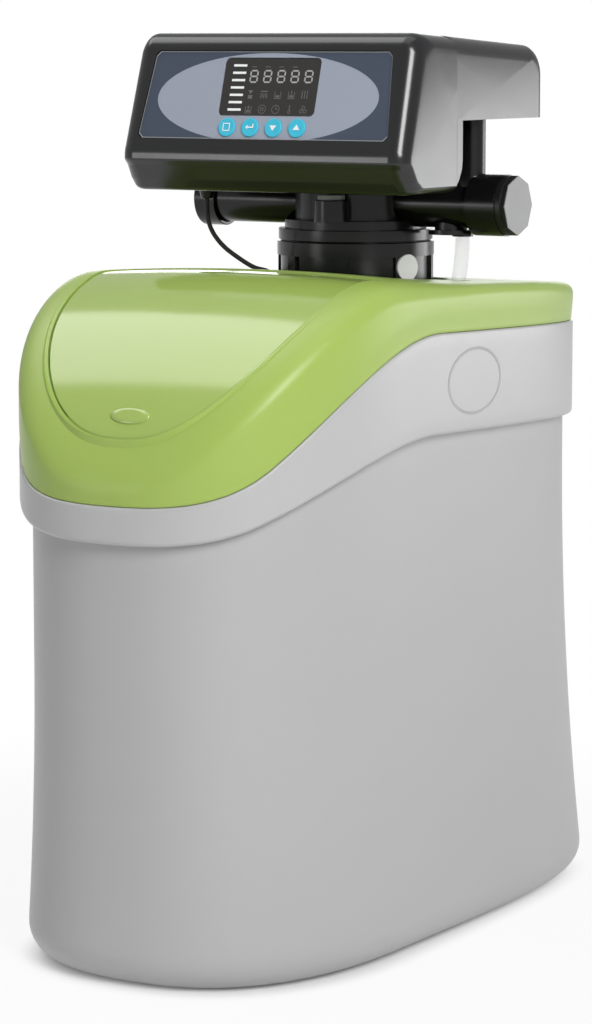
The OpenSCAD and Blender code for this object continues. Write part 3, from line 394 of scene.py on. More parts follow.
def markCollar():  # the collar carries a faint oval groove on each side, its line darkened by painted shade
    tree = finishes["collar_grey"].node_tree
    line = ovalAt(tree, collarOval["centre"], collarOval["half"], width=collarOval["lineWidth"])["Line"]
    relief = {"Strength": collarOval["strength"], "Distance": collarOval["deep"], "Height": line}
    groove = addNode(tree, "Bump", relief, invert=True)
    feed(tree, tree.nodes["bump"], {"Normal": groove.outputs["Normal"]})
    # painted shade: the groove's line is pulled towards a darker grey
    share = mathNode(tree, "MULTIPLY", line, collarOval["grooveShadeShare"])
    grooveShade = mixColor(tree, share, tree.nodes["skin"].outputs["Color"], collarOval["grooveShade"])
    feed(tree, tree.nodes["Principled BSDF"], {"Base Color": grooveShade})


markCollar()

vesselSet = {"color": (0.045, 0.1, 0.26), "axisY": 0.057, "turns": 14, "climb": 90}


def woundVessel():  # glass fibre wound under a blue gel coat
    paint = plastic("vessel_blue", vesselSet["color"], 0.35, grain=1200, depth=0.02, coat=0.3)
    tree = paint.node_tree
    place = addNode(tree, "Mapping", {"Vector": objectSpot(tree), "Location": (0, -vesselSet["axisY"], 0)})
    part = addNode(tree, "SeparateXYZ", {0: place.outputs[0]}).outputs
    around = mathNode(tree, "ARCTAN2", part["Y"], part["X"])
    climb = mathNode(tree, "MULTIPLY", part["Z"], vesselSet["climb"])
    strands = [mathNode(tree, "SINE", mathNode(tree, "MULTIPLY_ADD", around, turns, climb))
               for turns in (vesselSet["turns"], -vesselSet["turns"])]
    weave = mathNode(tree, "MULTIPLY", *strands)
    wound = addNode(tree, "Bump", {"Strength": 0.25, "Distance": 0.0006, "Height": weave})
    feed(tree, tree.nodes["bump"], {"Normal": wound.outputs["Normal"]})
    return paint


finishes["vessel_blue"] = woundVessel()

panelSet = {"tilt": math.radians(16.5), "foot": (-50, 422.5), "middle": 36, "sunk": 1,
            "halfLow": 78.5, "halfHigh": 74.5, "halfTall": 24.5, "corner": 2.5}


def onPanel(x, s, h):  # point on the control panel, in millimetres: across, up its slope, out of it
    lean, rise = math.sin(panelSet["tilt"]), math.cos(panelSet["tilt"])
    up, out = Vector((0, lean, rise)), Vector((0, -rise, lean))
    return Vector((x, *panelSet["foot"])) + up * (panelSet["middle"] + s) + out * (h - panelSet["sunk"])


panelOval = {"centre": onPanel(0, -1.5, 0) * mm, "half": (0.0695, 0.025, 100),
             "ground": (0.056, 0.074, 0.113), "pale": (0.37, 0.405, 0.49)}


def panelPrint():  # blue-grey panel with a paler oval behind the window
    paint = plastic("panel_blue", panelOval["ground"], 0.34, grain=2600, depth=0.015)
    tree = paint.node_tree
    turn = (math.pi / 2 - panelSet["tilt"], 0, 0)
    inside = ovalAt(tree, panelOval["centre"], panelOval["half"], turn)["Inside"]
    shade = mixColor(tree, inside, (*panelOval["ground"], 1), (*panelOval["pale"], 1))
    feed(tree, tree.nodes["skin"], {"Color": shade})
    return paint


finishes["panel_blue"] = panelPrint()

hoseLook = {"color": (0.86, 0.88, 0.88, 1), "hazeScale": 140, "rough": (0.12, 0.1), "alpha": (0.12, 0.16)}


def clearTube():
    paint, tree, shader = newFinish("clear_hose")
    haze = noiseAt(tree, objectSpot(tree), hoseLook["hazeScale"])
    feed(tree, shader, {
        "Base Color": hoseLook["color"],
        "Roughness": mathNode(tree, "MULTIPLY_ADD", haze, *hoseLook["rough"]),
        "Alpha": mathNode(tree, "MULTIPLY_ADD", haze, *hoseLook["alpha"])})
    return paint


finishes["clear_hose"] = clearTube()

capSet = {"faceX": 0.1025, "grey": (0.26, 0.26, 0.265), "black": (0.006, 0.006, 0.006)}


def facedCap():  # black cap with a grey end face
    paint = plastic("port_cap_face", capSet["grey"], 0.4, depth=0.03)
    tree = paint.node_tree
    part = addNode(tree, "SeparateXYZ", {0: objectSpot(tree)}).outputs
    face = mathNode(tree, "GREATER_THAN", part["X"], capSet["faceX"])
    shade = mixColor(tree, face, (*capSet["black"], 1), (*capSet["grey"], 1))
    feed(tree, tree.nodes["skin"], {"Color": shade})
    return paint


finishes["port_cap_face"] = facedCap()


def inked(name, color, glow=0.0):  # printed marks; glow adds a painted glow to them
    paint = plastic(name, color, 0.45, depth=0.005)
    if glow:
        tree = paint.node_tree
        lit = {"Emission Color": (*color, 1), "Emission Strength": glow}
        feed(tree, tree.nodes["Principled BSDF"], lit)
    return paint


# the white and soft inks carry a faint painted glow; the dim ink has none
glowingInkWhite = inked("ink_white_painted_glow", (0.85, 0.87, 0.88), glow=0.15)
glowingInkSoft = inked("ink_soft_painted_glow", (0.4, 0.4, 0.39), glow=0.1)
inkDim = inked("ink_dim", (0.13, 0.128, 0.125))


def paintAs(piece, paint):
    piece.data.materials.clear()
    piece.data.materials.append(paint)


def finishLoft(piece, degrees, paint, body, slot, *stands):
    smoothBy(piece, degrees)
    paintAs(piece, finishes[paint])
    return settle(piece, body, slot, *stands)


for node in nodes.values():
    for slot in node.material_slots:
        base = slot.material.name.split(".")[0] if slot.material else ""
        if base in finishes:
            slot.material = finishes[base]
        else:
            print("no finish for", node.name, base)
print("finishes mixed:", len(finishes))


# cords

def smoothRoute(points, steps=6):  # curve through the points, in metres
    pts = [Vector(p) * mm for p in points]
    out = []
    for i in range(len(pts) - 1):
        a, b = pts[max(i - 1, 0)], pts[i]
        c, d = pts[i + 1], pts[min(i + 2, len(pts) - 1)]
        for k in range(steps):
            t = k / steps
            out.append(0.5 * (2 * b + (c - a) * t + (2 * a - 5 * b + 4 * c - d) * t ** 2
                              + (3 * b - a - 3 * c + d) * t ** 3))
    return out + [pts[-1]]


def runCord(name, cordSet, slot, node):
    clearPick()
    path = smoothRoute(cordSet["route"])
    radius = cordSet["radius"]
    bpy.ops.curve.primitive_nurbs_path_add(location=(0, 0, 0))
    cord = named(name)
    cord.data.splines.clear()
    spline = cord.data.splines.new("POLY")
    spline.points.add(len(path) - 1)
    for spot, point in zip(spline.points, path):
        spot.co = (*point, 1)
    cord.data.dimensions = "3D"
    cord.data.bevel_depth = radius * mm
    cord.data.bevel_resolution = 6
    cord.data.use_fill_caps = True
    cord.data.materials.append(finishes[slot])
    settle(cord, "cabinet", slot, node)


leadSet = {"radius": 1.3, "route": [
    (-63, 0, 401), (-63, 0, 396), (-63, 0.4, 390.5), (-62.5, 1, 385.5), (-60.9, 2, 380.4),
    (-57.8, 3.5, 375.2), (-53.7, 5.5, 370.5), (-49.6, 8, 366.8), (-45.9, 10.5, 363.7), (-42.9, 12.9, 361.3),
    (-40.4, 15.5, 359.6), (-38.2, 18.1, 358.7), (-36.2, 20.1, 357.9), (-35.1, 21.2, 356.6),
    (-34.4, 21.9, 354.9), (-34.2, 22.2, 352.6), (-34.2, 22.2, 347), (-34.2, 22.2, 340)]}
hoseSet = {"radius": 4, "route": [
    (68.5, 57, 382), (68.4, 57, 375), (68, 57, 368), (67.4, 56.3, 360), (66.8, 54.3, 352.5),
    (66.4, 51, 345.5), (66.2, 46.5, 339), (66.1, 41, 333.5), (66, 34.5, 329), (65.8, 27.4, 325.7),
    (65.2, 11.4, 320), (64, -4.5, 314), (62.2, -20.4, 308.3), (61, -27.5, 305), (60, -34, 300.5),
    (59, -39.5, 295), (58.2, -44, 288.5), (57.6, -47.3, 281.4), (57.1, -49.3, 273.8), (57, -50, 266)]}
runCord("sensorLead", leadSet, "seal_rubber", "control_lead")
runCord("brineHose", hoseSet, "clear_hose", "brine_hose")


# the cabinet's shape, as the part's source has it, in millimetres

cabinet = {
    "halfWidth": 97, "widestY": -55.8, "front": 134, "rear": 241, "frontPower": 2.44, "rearPower": 4.64,
    "wall": 3, "floor": 4, "footRadius": 20, "collarOut": 4.7, "collarNose": 1.8,
    "hatchInset": 22, "hatchNose": 9.5, "noseRun": 89, "gap": 1, "recess": 0.8,
    "hingeY": -64, "hingeZ": 354.874, "deckEdgeY": -51.28, "hatchBackY": -56, "tuck": 0.8,
}
flareSet = ((5, 157), (13, 257))  # front and rear: how far out at the foot, and the height where it ends
waveSet = {"run": 172, "bend": 0.27, "rearFall": 7, "skirt": (17.5, 230, 48), "seam": (12.5, 250, 82)}
humpSet = {
    "crestY": -75, "reach": 121.3, "low": 250, "rise": 114.5, "power": 1.6,
    "deckZ": 352, "fall": 12.5, "fallRun": 200, "fallBend": 0.3,
    "tailY": 85, "tailFall": 7, "tailPower": 1.5,
    "sideDrop": 3, "sideHalf": 88, "evenY": -40, "evenRun": 100,
}
rimSet = {"startY": -85, "run": 110, "inward": (17, 7), "drop": (12, 7), "lift": 0.9, "tuckRise": 15}
frontY = cabinet["widestY"] - cabinet["front"]
rearY = cabinet["widestY"] + cabinet["rear"]


def ease(u):
    u = min(1, max(0, u))
    return u * u * (3 - 2 * u)


def swell(u, bend):
    if u <= 0:
        return 0
    if u >= 1:
        return 1
    return u * u / bend if u < bend else 1 - (1 - u) ** 2 / (1 - bend)


def plan(a, grow):
    front = math.sin(a) < 0
    power = cabinet["frontPower"] if front else cabinet["rearPower"]
    reach = (cabinet["front"] if front else cabinet["rear"]) + grow
    r = (abs(math.cos(a)) ** power + abs(math.sin(a)) ** power) ** (-1 / power)
    return (cabinet["halfWidth"] + grow) * r * math.cos(a), cabinet["widestY"] + reach * r * math.sin(a)


def flare(y, z):
    share = ease((y - frontY) / (rearY - frontY))
    front, rear = (out * (1 - min(z / top, 1)) ** 2 for out, top in flareSet)
    return (1 - share) * front + share * rear


def waveZ(y, ahead, low, rise):
    start = frontY - ahead
    crest = start + waveSet["run"]
    fall = waveSet["rearFall"] * max(0, (y - crest) / (rearY - crest))
    return low + rise * swell((y - start) / waveSet["run"], waveSet["bend"]) - fall


def skirtZ(y):
    return waveZ(y, *waveSet["skirt"])


def seamZ(y):
    return waveZ(y, *waveSet["seam"])


def topZ(y):
    behind = y - humpSet["crestY"]
    if behind < 0:
        power = humpSet["power"]
        u = min(1, -behind / humpSet["reach"])
        return humpSet["low"] + humpSet["rise"] * (1 - u ** power) ** (1 / power)
    tail = max(0, (y - humpSet["tailY"]) / (rearY - humpSet["tailY"])) ** humpSet["tailPower"]
    left = 1 - swell(behind / humpSet["fallRun"], humpSet["fallBend"])
    return humpSet["deckZ"] + humpSet["fall"] * left - humpSet["tailFall"] * tail


def over(a):
    share = ease((plan(a, 0)[1] - frontY) / (rearY - frontY))
    return cabinet["collarOut"] + cabinet["collarNose"] * (1 - share)


def nose(a):
    return cabinet["hatchNose"] * (1 - min(1, (plan(a, 0)[1] - frontY) / cabinet["noseRun"]))


def topAt(x, y):  # the hump's sides are lower than its middle
    share = 1 - ease((y - humpSet["evenY"]) / humpSet["evenRun"])
    return topZ(y) - humpSet["sideDrop"] * (x / humpSet["sideHalf"]) ** 2 * share


def evenSteps(points, count):  # the same line with evenly spaced points
    line = [Vector(point) for point in points]
    spans = [(q - p).length for p, q in zip(line, line[1:])]
    total = sum(spans)
    out, i, done = [], 0, 0.0
    for k in range(count):
        goal = total * k / (count - 1)
        while i < len(spans) - 1 and done + spans[i] < goal:
            done += spans[i]
            i += 1
        out.append(tuple(line[i].lerp(line[i + 1], min(1, (goal - done) / max(spans[i], 1e-9)))))
    return out


def coverColumn(a, inset, count):  # even steps up the wall, over the rounded rim and in to an inset
    y0 = plan(a, 0)[1]
    seam = seamZ(y0)
    start = seam + rimSet["lift"]
    share = ease((y0 - rimSet["startY"]) / rimSet["run"])  # 0 where the rim is broad, 1 where it is narrow
    broad, drop = (front + (rear - front) * share for front, rear in (rimSet["inward"], rimSet["drop"]))

    def edgeAt(d):
        return plan(a, over(a) - d)

    inner = topAt(*edgeAt(broad))
    bend = max(seam + 1, inner - (topAt(*edgeAt(broad + 1)) - inner) * broad)
    wall = max(seam + 1, bend - drop)

    def arch(t):  # height along the rim's rounding
        return (1 - t) ** 2 * wall + 2 * t * (1 - t) * bend + t * t * inner

    marks = [(0, start + (wall - start) * k / 6) for k in range(6)]
    marks += [(broad * (k / 40) ** 2, arch(k / 40)) for k in range(41)]
    line = [(*edgeAt(d + cabinet["tuck"] * (1 - ease((z - seam) / rimSet["tuckRise"]))), z)
            for d, z in marks if d < inset - 0.05]
    if inset > broad:
        spots = [edgeAt(broad + (inset - broad) * k / 6) for k in range(1, 7)]
        line += [(*spot, topAt(*spot)) for spot in spots]
    else:
        line.append((*edgeAt(inset), arch(math.sqrt(inset / broad))))
    return evenSteps(line, count)


ringCount = 288
ringAngles = [2 * math.pi * i / ringCount for i in range(ringCount)]


# tub

tubSet = {"rim": 14, "rimRound": 1, "rimCut": 0.3, "lowInsets": (90, 70, 50), "innerInset": 60,
          "footRows": 10, "wallRows": 30, "innerRows": 15, "innerFootRows": 7}


def makeTub():
    def ringAt(inset, height):  # height gives z at a depth y
        row = []
        for a in ringAngles:
            y = plan(a, 0)[1]
            z = height(y)
            row.append((*plan(a, flare(y, z) - inset), z))
        return row

    def wallRing(inset, share):  # share of the way from the foot to the rounded rim
        return ringAt(inset, lambda y: foot + share * (skirtZ(y) + tubSet["rim"] - tubSet["rimRound"] - foot))

    def footRing(inset, low, share):  # share of the way round the foot's rounding, from the wall down
        t = math.pi / 2 * share
        z = low + (foot - low) * (1 - math.sin(t))
        return ringAt(inset + (foot - inset) * (1 - math.cos(t)), lambda y: z)

    foot, wall, base = cabinet["footRadius"], cabinet["wall"], cabinet["floor"]
    cut, edge = tubSet["rimCut"], tubSet["rimRound"]
    rows = [[(0, cabinet["widestY"], 0)] * ringCount]
    rows += [ringAt(inset, lambda y: 0) for inset in tubSet["lowInsets"]]
    for k in range(tubSet["footRows"] + 1):
        rows.append(footRing(0, 0, 1 - k / tubSet["footRows"]))
    for k in range(1, tubSet["wallRows"] + 1):
        rows.append(wallRing(0, k / tubSet["wallRows"]))
    for inset, below in ((cut, cut), (edge, 0), (wall - edge, 0), (wall - cut, cut)):
        rows.append(ringAt(inset, lambda y: skirtZ(y) + tubSet["rim"] - below))
    for k in range(tubSet["innerRows"], -1, -1):
        rows.append(wallRing(wall, k / tubSet["innerRows"]))
    for k in range(1, tubSet["innerFootRows"] + 1):
        rows.append(footRing(wall, base, k / tubSet["innerFootRows"]))
    rows.append(ringAt(tubSet["innerInset"], lambda y: base))
    rows.append([(0, cabinet["widestY"], base)] * ringCount)
    tub = layRows("brineTub", rows)
    weld(tub)
    return finishLoft(tub, 40, "tub_grey", "cabinet", "tub_grey", "brine_tub")


makeTub()
print("tub made")


# collar

collarSet = {"onTub": 0.1, "lip": (0.4, 0.8), "footRound": 2.5, "seamRound": 1.2, "wallRows": 8,
             "skin": 3, "ledge": 18.2, "seat": 14.2, "inward": -5}


def makeCollar():
    def ringAt(inset, lift, edge=skirtZ, fromTub=False):
        row = []
        for a in ringAngles:
            spot = plan(a, inset + collarSet["onTub"]) if fromTub else plan(a, over(a) - inset)
            row.append((*spot, edge(plan(a, 0)[1]) + lift))
        return row

    near, far = collarSet["lip"]
    foot, seam, rowCount = collarSet["footRound"], collarSet["seamRound"], collarSet["wallRows"]
    rows = [ringAt(near, near, fromTub=True), ringAt(far, 0, fromTub=True)]
    for k in range(7):
        t = math.radians(90 * k / 6)
        rows.append(ringAt(foot * (1 - math.sin(t)), foot * (1 - math.cos(t))))
    wall = list(zip(ringAt(0, foot), ringAt(0, -seam, seamZ)))
    for k in range(1, rowCount):
        rows.append([tuple(Vector(p) + (Vector(q) - Vector(p)) * k / rowCount) for p, q in wall])
    for k in range(5):
        t = math.radians(90 * k / 4)
        rows.append(ringAt(seam * (1 - math.cos(t)), seam * (math.sin(t) - 1), seamZ))
    skin, inward, ledge, seat = (collarSet[key] for key in ("skin", "inward", "ledge", "seat"))
    rows += [ringAt(skin, 0, seamZ), ringAt(skin, ledge)]
    rows += [ringAt(inset, lift, fromTub=True) for inset, lift in ((inward, ledge), (inward, seat), (near, seat))]
    rows.append(rows[0])
    collar = layRows("cabinetCollar", rows)
    weld(collar)
    return finishLoft(collar, 40, "collar_grey", "cabinet", "collar_grey", "cabinet_collar")


makeCollar()
print("collar made")


# cover and hatch

def cornerAngle(inset, back):  # angle at which an inset outline crosses the straight back edge, on the right
    low, high = -0.3, 0.3
    for step in range(50):
        mid = (low + high) / 2
        if plan(mid, over(mid) - inset)[1] < back:
            low = mid
        else:
            high = mid
    return low


hingeSet = {"sides": 40, "radius": 0.004, "blend": 0.0012, "soft": 0.5}


def knuckle(x0, width, web):  # round end and web of a hinge ear or lug
    clearPick()
    y, z, radius = cabinet["hingeY"] * mm, cabinet["hingeZ"] * mm, hingeSet["radius"]
    bpy.ops.mesh.primitive_cylinder_add(vertices=hingeSet["sides"], radius=radius, depth=width * mm,
                                        location=((x0 + width / 2) * mm, y, z), rotation=(0, math.pi / 2, 0))
    ear = named("hingeEar")
    bpy.ops.object.transform_apply(location=True, rotation=True, scale=True)
    for vert in ear.data.vertices:  # the upper half goes straight up as the web
        if vert.co.z > z:
            side = 1 if vert.co.y > y else -1
            vert.co.y = y + side * radius * min(1, abs(vert.co.y - y) / hingeSet["blend"])
            vert.co.z = (cabinet["hingeZ"] + web) * mm
    softEdge(ear, hingeSet["soft"], degrees=50)
    return ear


def openEdges(piece):
    openMesh(piece, "EDGE", False)
    bpy.ops.mesh.select_non_manifold(extend=False, use_wire=False, use_boundary=True, use_multi_face=False,
                                     use_non_contiguous=False, use_verts=False)


def shellOut(piece, drop, soft, skin):  # turns the chosen edges down, rounds them and gives the skin a thickness
    bpy.ops.mesh.extrude_edges_move(TRANSFORM_OT_translate={"value": (0, 0, -drop * mm)})
    closeMesh()
    softEdge(piece, soft, 4, 50)
    openMesh(piece)
    bpy.ops.mesh.normals_make_consistent(inside=False)
    closeMesh()
    finishWith(piece, "SOLIDIFY", thickness=skin * mm, offset=-1, use_even_offset=False)


coverSet = {
    "rearSteps": 176, "frontSteps": 150, "backSteps": 60, "columnRows": 44, "deckRows": 14,
    "neckY": 57, "neckRadius": 52, "hoseX": 66, "hoseHalf": 7.5, "notchAngle": 0.2,
    "drop": 5, "soft": 1.3, "skin": 2.4, "lugWidth": 6, "lugWeb": 4.7, "lugGap": 2.5,
}


def holeRadius(turn):  # round hole for the neck, with the hose's notch on its right
    neck, reach, half = coverSet["neckRadius"], coverSet["hoseX"], coverSet["hoseHalf"]
    side = abs(math.sin(turn))
    if math.cos(turn) > 0 and side < half / neck:
        if side < half / math.hypot(reach, half):
            return reach * math.cos(turn) + math.sqrt(max(0, half ** 2 - (reach * side) ** 2))
        return max(neck, half / side)
    return neck


def coverAngles(inset):  # round the rear from corner to corner, finer beside the hose's notch, then the front
    right = cornerAngle(inset, cabinet["deckEdgeY"])
    left = math.pi - right
    rear = [right + (left - right) * i / coverSet["rearSteps"] for i in range(coverSet["rearSteps"] + 1)]
    for k in range(90):
        a = 0.1 + 0.01 * k
        x, y = plan(a, -16)
        if abs(math.atan2(y - coverSet["neckY"], x)) < coverSet["notchAngle"]:
            rear.append(a + 0.0031)
    steps = coverSet["frontSteps"]
    return sorted(rear), [left + (2 * math.pi + right - left) * i / steps for i in range(1, steps)]


def dropSeam(cover):  # of the chosen edges, those on the outer seam are left out
    middle = cabinet["widestY"]
    for edge in cover.data.edges:
        if edge.select:
            x, y, z = sum((cover.data.vertices[i].co for i in edge.vertices), Vector()) * 500
            reach = cabinet["front"] if y < middle else cabinet["rear"]
            px, py = plan(math.atan2((y - middle) / reach, x / cabinet["halfWidth"]), 0)
            if math.hypot(x, y - middle) > 0.97 * math.hypot(px, py - middle):
                edge.select = False


def makeCover():
    inset = cabinet["hatchInset"] - cabinet["gap"]
    rear, front = coverAngles(inset)
    tuck, neckY = cabinet["tuck"], coverSet["neckY"]
    columns = []
    for a in rear + front:
        seam = seamZ(plan(a, 0)[1])
        low = [(*plan(a, over(a) - tuck - 0.6), seam + 0.2), (*plan(a, over(a) - tuck - 0.2), seam + 0.4)]
        columns.append(low + coverColumn(a, inset - nose(a), coverSet["columnRows"]))
    rows = [list(row) for row in zip(*columns)]
    band = layRows("coverBand", rows)
    edge = rows[-1][:len(rear)]  # the deck's outer loop: rear arc, then the straight edge behind the hatch
    first, last = edge[0][0], edge[-1][0]
    for i in range(1, coverSet["backSteps"]):
        x, y = last + (first - last) * i / coverSet["backSteps"], cabinet["deckEdgeY"]
        edge.append((x, y, topAt(x, y)))
    deckRows = [edge]
    for k in range(1, coverSet["deckRows"] + 1):
        row = []
        for x, y, z in edge:
            turn, r = math.atan2(y - neckY, x), math.hypot(x, y - neckY)
            r = r + (holeRadius(turn) - r) * k / coverSet["deckRows"]
            x1, y1 = r * math.cos(turn), neckY + r * math.sin(turn)
            row.append((x1, y1, topAt(x1, y1)))
        deckRows.append(row)
    cover = joinInto(band, layRows("coverDeck", deckRows))
    cover.name = cover.data.name = "topCover"
    weld(cover, 2e-5)
    openEdges(cover)
    closeMesh()
    dropSeam(cover)
    bpy.ops.object.mode_set(mode="EDIT")
    shellOut(cover, coverSet["drop"], coverSet["soft"], coverSet["skin"])
    lug = cabinet["halfWidth"] + cabinet["collarOut"] - cabinet["hatchInset"] + coverSet["lugGap"]
    for x0 in (lug, -lug - coverSet["lugWidth"]):
        joinInto(cover, knuckle(x0, coverSet["lugWidth"], coverSet["lugWeb"]))
    return finishLoft(cover, 40, "satin_green", "cabinet", "leaf_green", "top_cover")


makeCover()
print("cover made")

hatchSet = {
    "arcSteps": 200, "backSteps": 70, "noseOut": 6.5, "drop": 4.2, "soft": 1.8, "skin": 2,
    "earWidth": 7, "earWeb": 4.6, "earGap": 2.5,
    "shares": (1, 0.995, 0.985, 0.97, 0.95, 0.925, 0.9, 0.87, 0.83, 0.79, 0.74, 0.68, 0.61, 0.53, 0.44, 0.34,
               0.23, 0.11, 0),
}


def makeHatch():
    inset = cabinet["hatchInset"]
    right = cornerAngle(inset, cabinet["hatchBackY"])
    left = math.pi - right
    steps, back = hatchSet["arcSteps"], hatchSet["backSteps"]
    arc = [left + (2 * math.pi + right - left) * i / steps for i in range(steps + 1)]
    loop = [plan(a, over(a) - inset + nose(a)) for a in arc]
    first, last = loop[0], loop[-1]
    loop += [(last[0] + (first[0] - last[0]) * i / back, last[1]) for i in range(1, back)]
    midY = (frontY - hatchSet["noseOut"] + cabinet["hatchBackY"]) / 2
    rows = []
    for share in hatchSet["shares"]:
        spots = [(x * share, midY + (y - midY) * share) for x, y in loop]
        rows.append([(x, y, topAt(x, y) - cabinet["recess"]) for x, y in spots])
    hatch = layRows("saltHatch", rows)
    weld(hatch, 2e-5)
    openEdges(hatch)
    shellOut(hatch, hatchSet["drop"], hatchSet["soft"], hatchSet["skin"])
    ear = cabinet["halfWidth"] + cabinet["collarOut"] - inset - hatchSet["earGap"]
    for x0 in (ear - hatchSet["earWidth"], -ear):
        joinInto(hatch, knuckle(x0, hatchSet["earWidth"], hatchSet["earWeb"]))
    return finishLoft(hatch, 40, "leaf_green", "hatch", "leaf_green", "salt_hatch")


makeHatch()
print("hatch made")

bareOval = {
    "centre": (2.6, -177), "half": (12, 4.8), "slant": 0.57, "sides": 64,
    "steps": ((1.02, -0.4), (1, 0.1), (0.985, 0.4), (0.95, 0.62), (0.9, 1), (0.6, 1.06), (0.3, 1.08), (0, 1.08)),
}


def makeBareOval():  # plain raised oval on the hatch's front
    rows = []
    for share, lift in bareOval["steps"]:
        row = []
        for i in range(bareOval["sides"]):
            t = 2 * math.pi * i / bareOval["sides"]
            x = bareOval["centre"][0] + bareOval["half"][0] * share * math.cos(t)
            y = bareOval["centre"][1] + bareOval["half"][1] * share * math.sin(t) * bareOval["slant"]
            z = topAt(x, y) - cabinet["recess"]
            slope = (topZ(y + 0.1) - topZ(y - 0.1)) / 0.2
            away = Vector((0, -slope, 1)).normalized()
            row.append(tuple(Vector((x, y, z)) + away * lift))
        rows.append(row)
    pad = layRows("bareOval", rows)
    weld(pad)
    return finishLoft(pad, 60, "leaf_green", "hatch", "leaf_green")


makeBareOval()
print("bare oval made")


# control head

head = {"half": 90, "bezelEnd": 10, "roofEnd": 8, "wall": 2.6, "taper": 0.028, "taperZ": 424, "taperRise": 66}


def roundCorners(corners, inset, steps=8):  # closed outline of y and z from (y, z, radius), moved inwards
    count = len(corners)
    pts = [Vector((c[0], c[1])) for c in corners]
    nexts = pts[1:] + pts[:1]
    side = 1 if sum(p.x * q.y - q.x * p.y for p, q in zip(pts, nexts)) > 0 else -1
    moved = []
    for i in range(count):
        a, b, c = pts[i - 1], pts[i], nexts[i]
        d0, d1 = (b - a).normalized(), (c - b).normalized()
        n0, n1 = Vector((-d0.y, d0.x)) * side, Vector((-d1.y, d1.x)) * side
        moved.append(b + (n0 + n1) * (inset / (1 + n0.dot(n1))))
    out = []
    for i in range(count):
        a, b, c = moved[i - 1], moved[i], moved[(i + 1) % count]
        d0, d1 = (b - a).normalized(), (c - b).normalized()
        bend = d0.x * d1.y - d0.y * d1.x
        radius = max(0.15, corners[i][2] - inset if bend * side > 0 else corners[i][2] + inset)
        angle = math.acos(max(-1, min(1, d0.dot(d1))))
        reach = min(radius * math.tan(angle / 2), 0.48 * (b - a).length, 0.48 * (c - b).length)
        radius = reach / math.tan(angle / 2)
        start = b - d0 * reach
        centre = start + Vector((-d0.y, d0.x)) * radius * (1 if bend > 0 else -1)
        arm = start - centre
        for k in range(steps + 1):
            turn = angle * k / steps * (1 if bend > 0 else -1)
            out.append(centre + Matrix.Rotation(turn, 2) @ arm)
    return out


def endStations(half, endRound, shrink, count):  # x and inset over both rounded ends
    stations = []
    for k in range(count + 1):
        t = math.radians(90 - 90 * k / count)
        inset = shrink + endRound * (1 - math.cos(t))
        stations.append((-(half - shrink - endRound * (1 - math.sin(t))), inset))
    return stations + [(-x, inset) for x, inset in reversed(stations)]


def crossLoft(name, corners, half, endRound, shrink=0.0):
    rows = []
    for x, inset in endStations(half, endRound, shrink, 8):
        rows.append([(x, p.x, p.y) for p in roundCorners(corners, inset)])
    rim = rows[0]
    middle = [sum(p[i] for p in rim) / len(rim) for i in range(3)]
    for share in (0.96, 0.9, 0):  # flat ends
        flat = [(x, middle[1] + (y - middle[1]) * share, middle[2] + (z - middle[2]) * share) for x, y, z in rim]
        rows.insert(0, flat)
        rows.append([(-x, y, z) for x, y, z in flat])
    piece = layRows(name, rows)
    weld(piece)
    for vert in piece.data.vertices:  # the bezel narrows towards its top
        up = min(1, max(0, (vert.co.z / mm - head["taperZ"]) / head["taperRise"]))
        forward = min(1, max(0, (0.01 - vert.co.y) / 0.03))
        vert.co.x *= 1 - head["taper"] * up * forward
    return piece


bezelSide = [(-50, 422.5, 3.6), (-29.86, 490.5, 8), (30, 487.27, 0.15), (30, 422.5, 0.15)]
chinSide = [(-41, 434.5, 0.15), (-47, 419.5, 2), (-44, 414.5, 4), (-40.5, 410, 4), (-36.6, 404.6, 6),
            (30, 404.6, 0.15), (30, 434.5, 0.15)]
caseSide = [(30, 404.6, 0.15), (-37.4, 404.6, 4.5), (-42, 411, 9), (-46.6, 418.4, 3), (-49, 421.4, 2.4),
            (-48.9, 426, 12), (-29.86, 490.5, 12), (30, 487.27, 0.15)]
caseSet = {
    "backY": 10, "taperRun": 55, "taperSoft": 0.1, "chinTaper": 0.022, "chinZ": (415, 7), "chinY": (-46, 8),
    "faceY": (-26, 22), "roofDraw": 0.8, "roofZ": (470, 18), "floorDraw": 0.4, "floorZ": (404.6, 9),
    "middleZ": 450, "endRows": 10,
}


def easeFrom(value, startAndRun):
    return ease((value - startAndRun[0]) / startAndRun[1])


def caseNarrowed(x, y, z):  # slimmer towards the front of the roof and at the chin's front
    soft, up = caseSet["taperSoft"], (z - head["taperZ"]) / head["taperRise"]
    forward = min(1, max(0, (caseSet["backY"] - y) / caseSet["taperRun"]))
    roof = head["taper"] * ((math.hypot(up, soft) + up) / 2 - soft / 2) * forward
    chin = caseSet["chinTaper"] * (1 - easeFrom(z, caseSet["chinZ"])) * (1 - easeFrom(y, caseSet["chinY"]))
    return x * (1 - roof - chin), y, z


def caseLoft():  # the face is pulled back, and the roof and chin drawn in, towards each rounded end
    outline = roundCorners(caseSide, 0, 10)
    rows = []
    for x, inset in endStations(head["half"], head["bezelEnd"], 0, 12):
        row = []
        for p in outline:
            roof = caseSet["roofDraw"] * easeFrom(p.y, caseSet["roofZ"])
            chin = caseSet["floorDraw"] * (1 - easeFrom(p.y, caseSet["floorZ"]))
            y = p.x + inset * (1 - easeFrom(p.x, caseSet["faceY"]))
            row.append(caseNarrowed(x, y, p.y + inset * (chin - roof)))
        rows.append(row)
    middle = caseSet["middleZ"]
    shares = [1 - k / caseSet["endRows"] for k in range(1, caseSet["endRows"] + 1)]
    ends = []
    for end, rim in ((-head["half"], rows[0]), (head["half"], rows[-1])):  # each flat end, drawn in to its middle
        ends.append([[caseNarrowed(end, y * share, middle + (z - middle) * share) for x, y, z in rim]
                     for share in shares])
    piece = layRows("frontCase", ends[0][::-1] + rows + ends[1])
    weld(piece)
    return piece


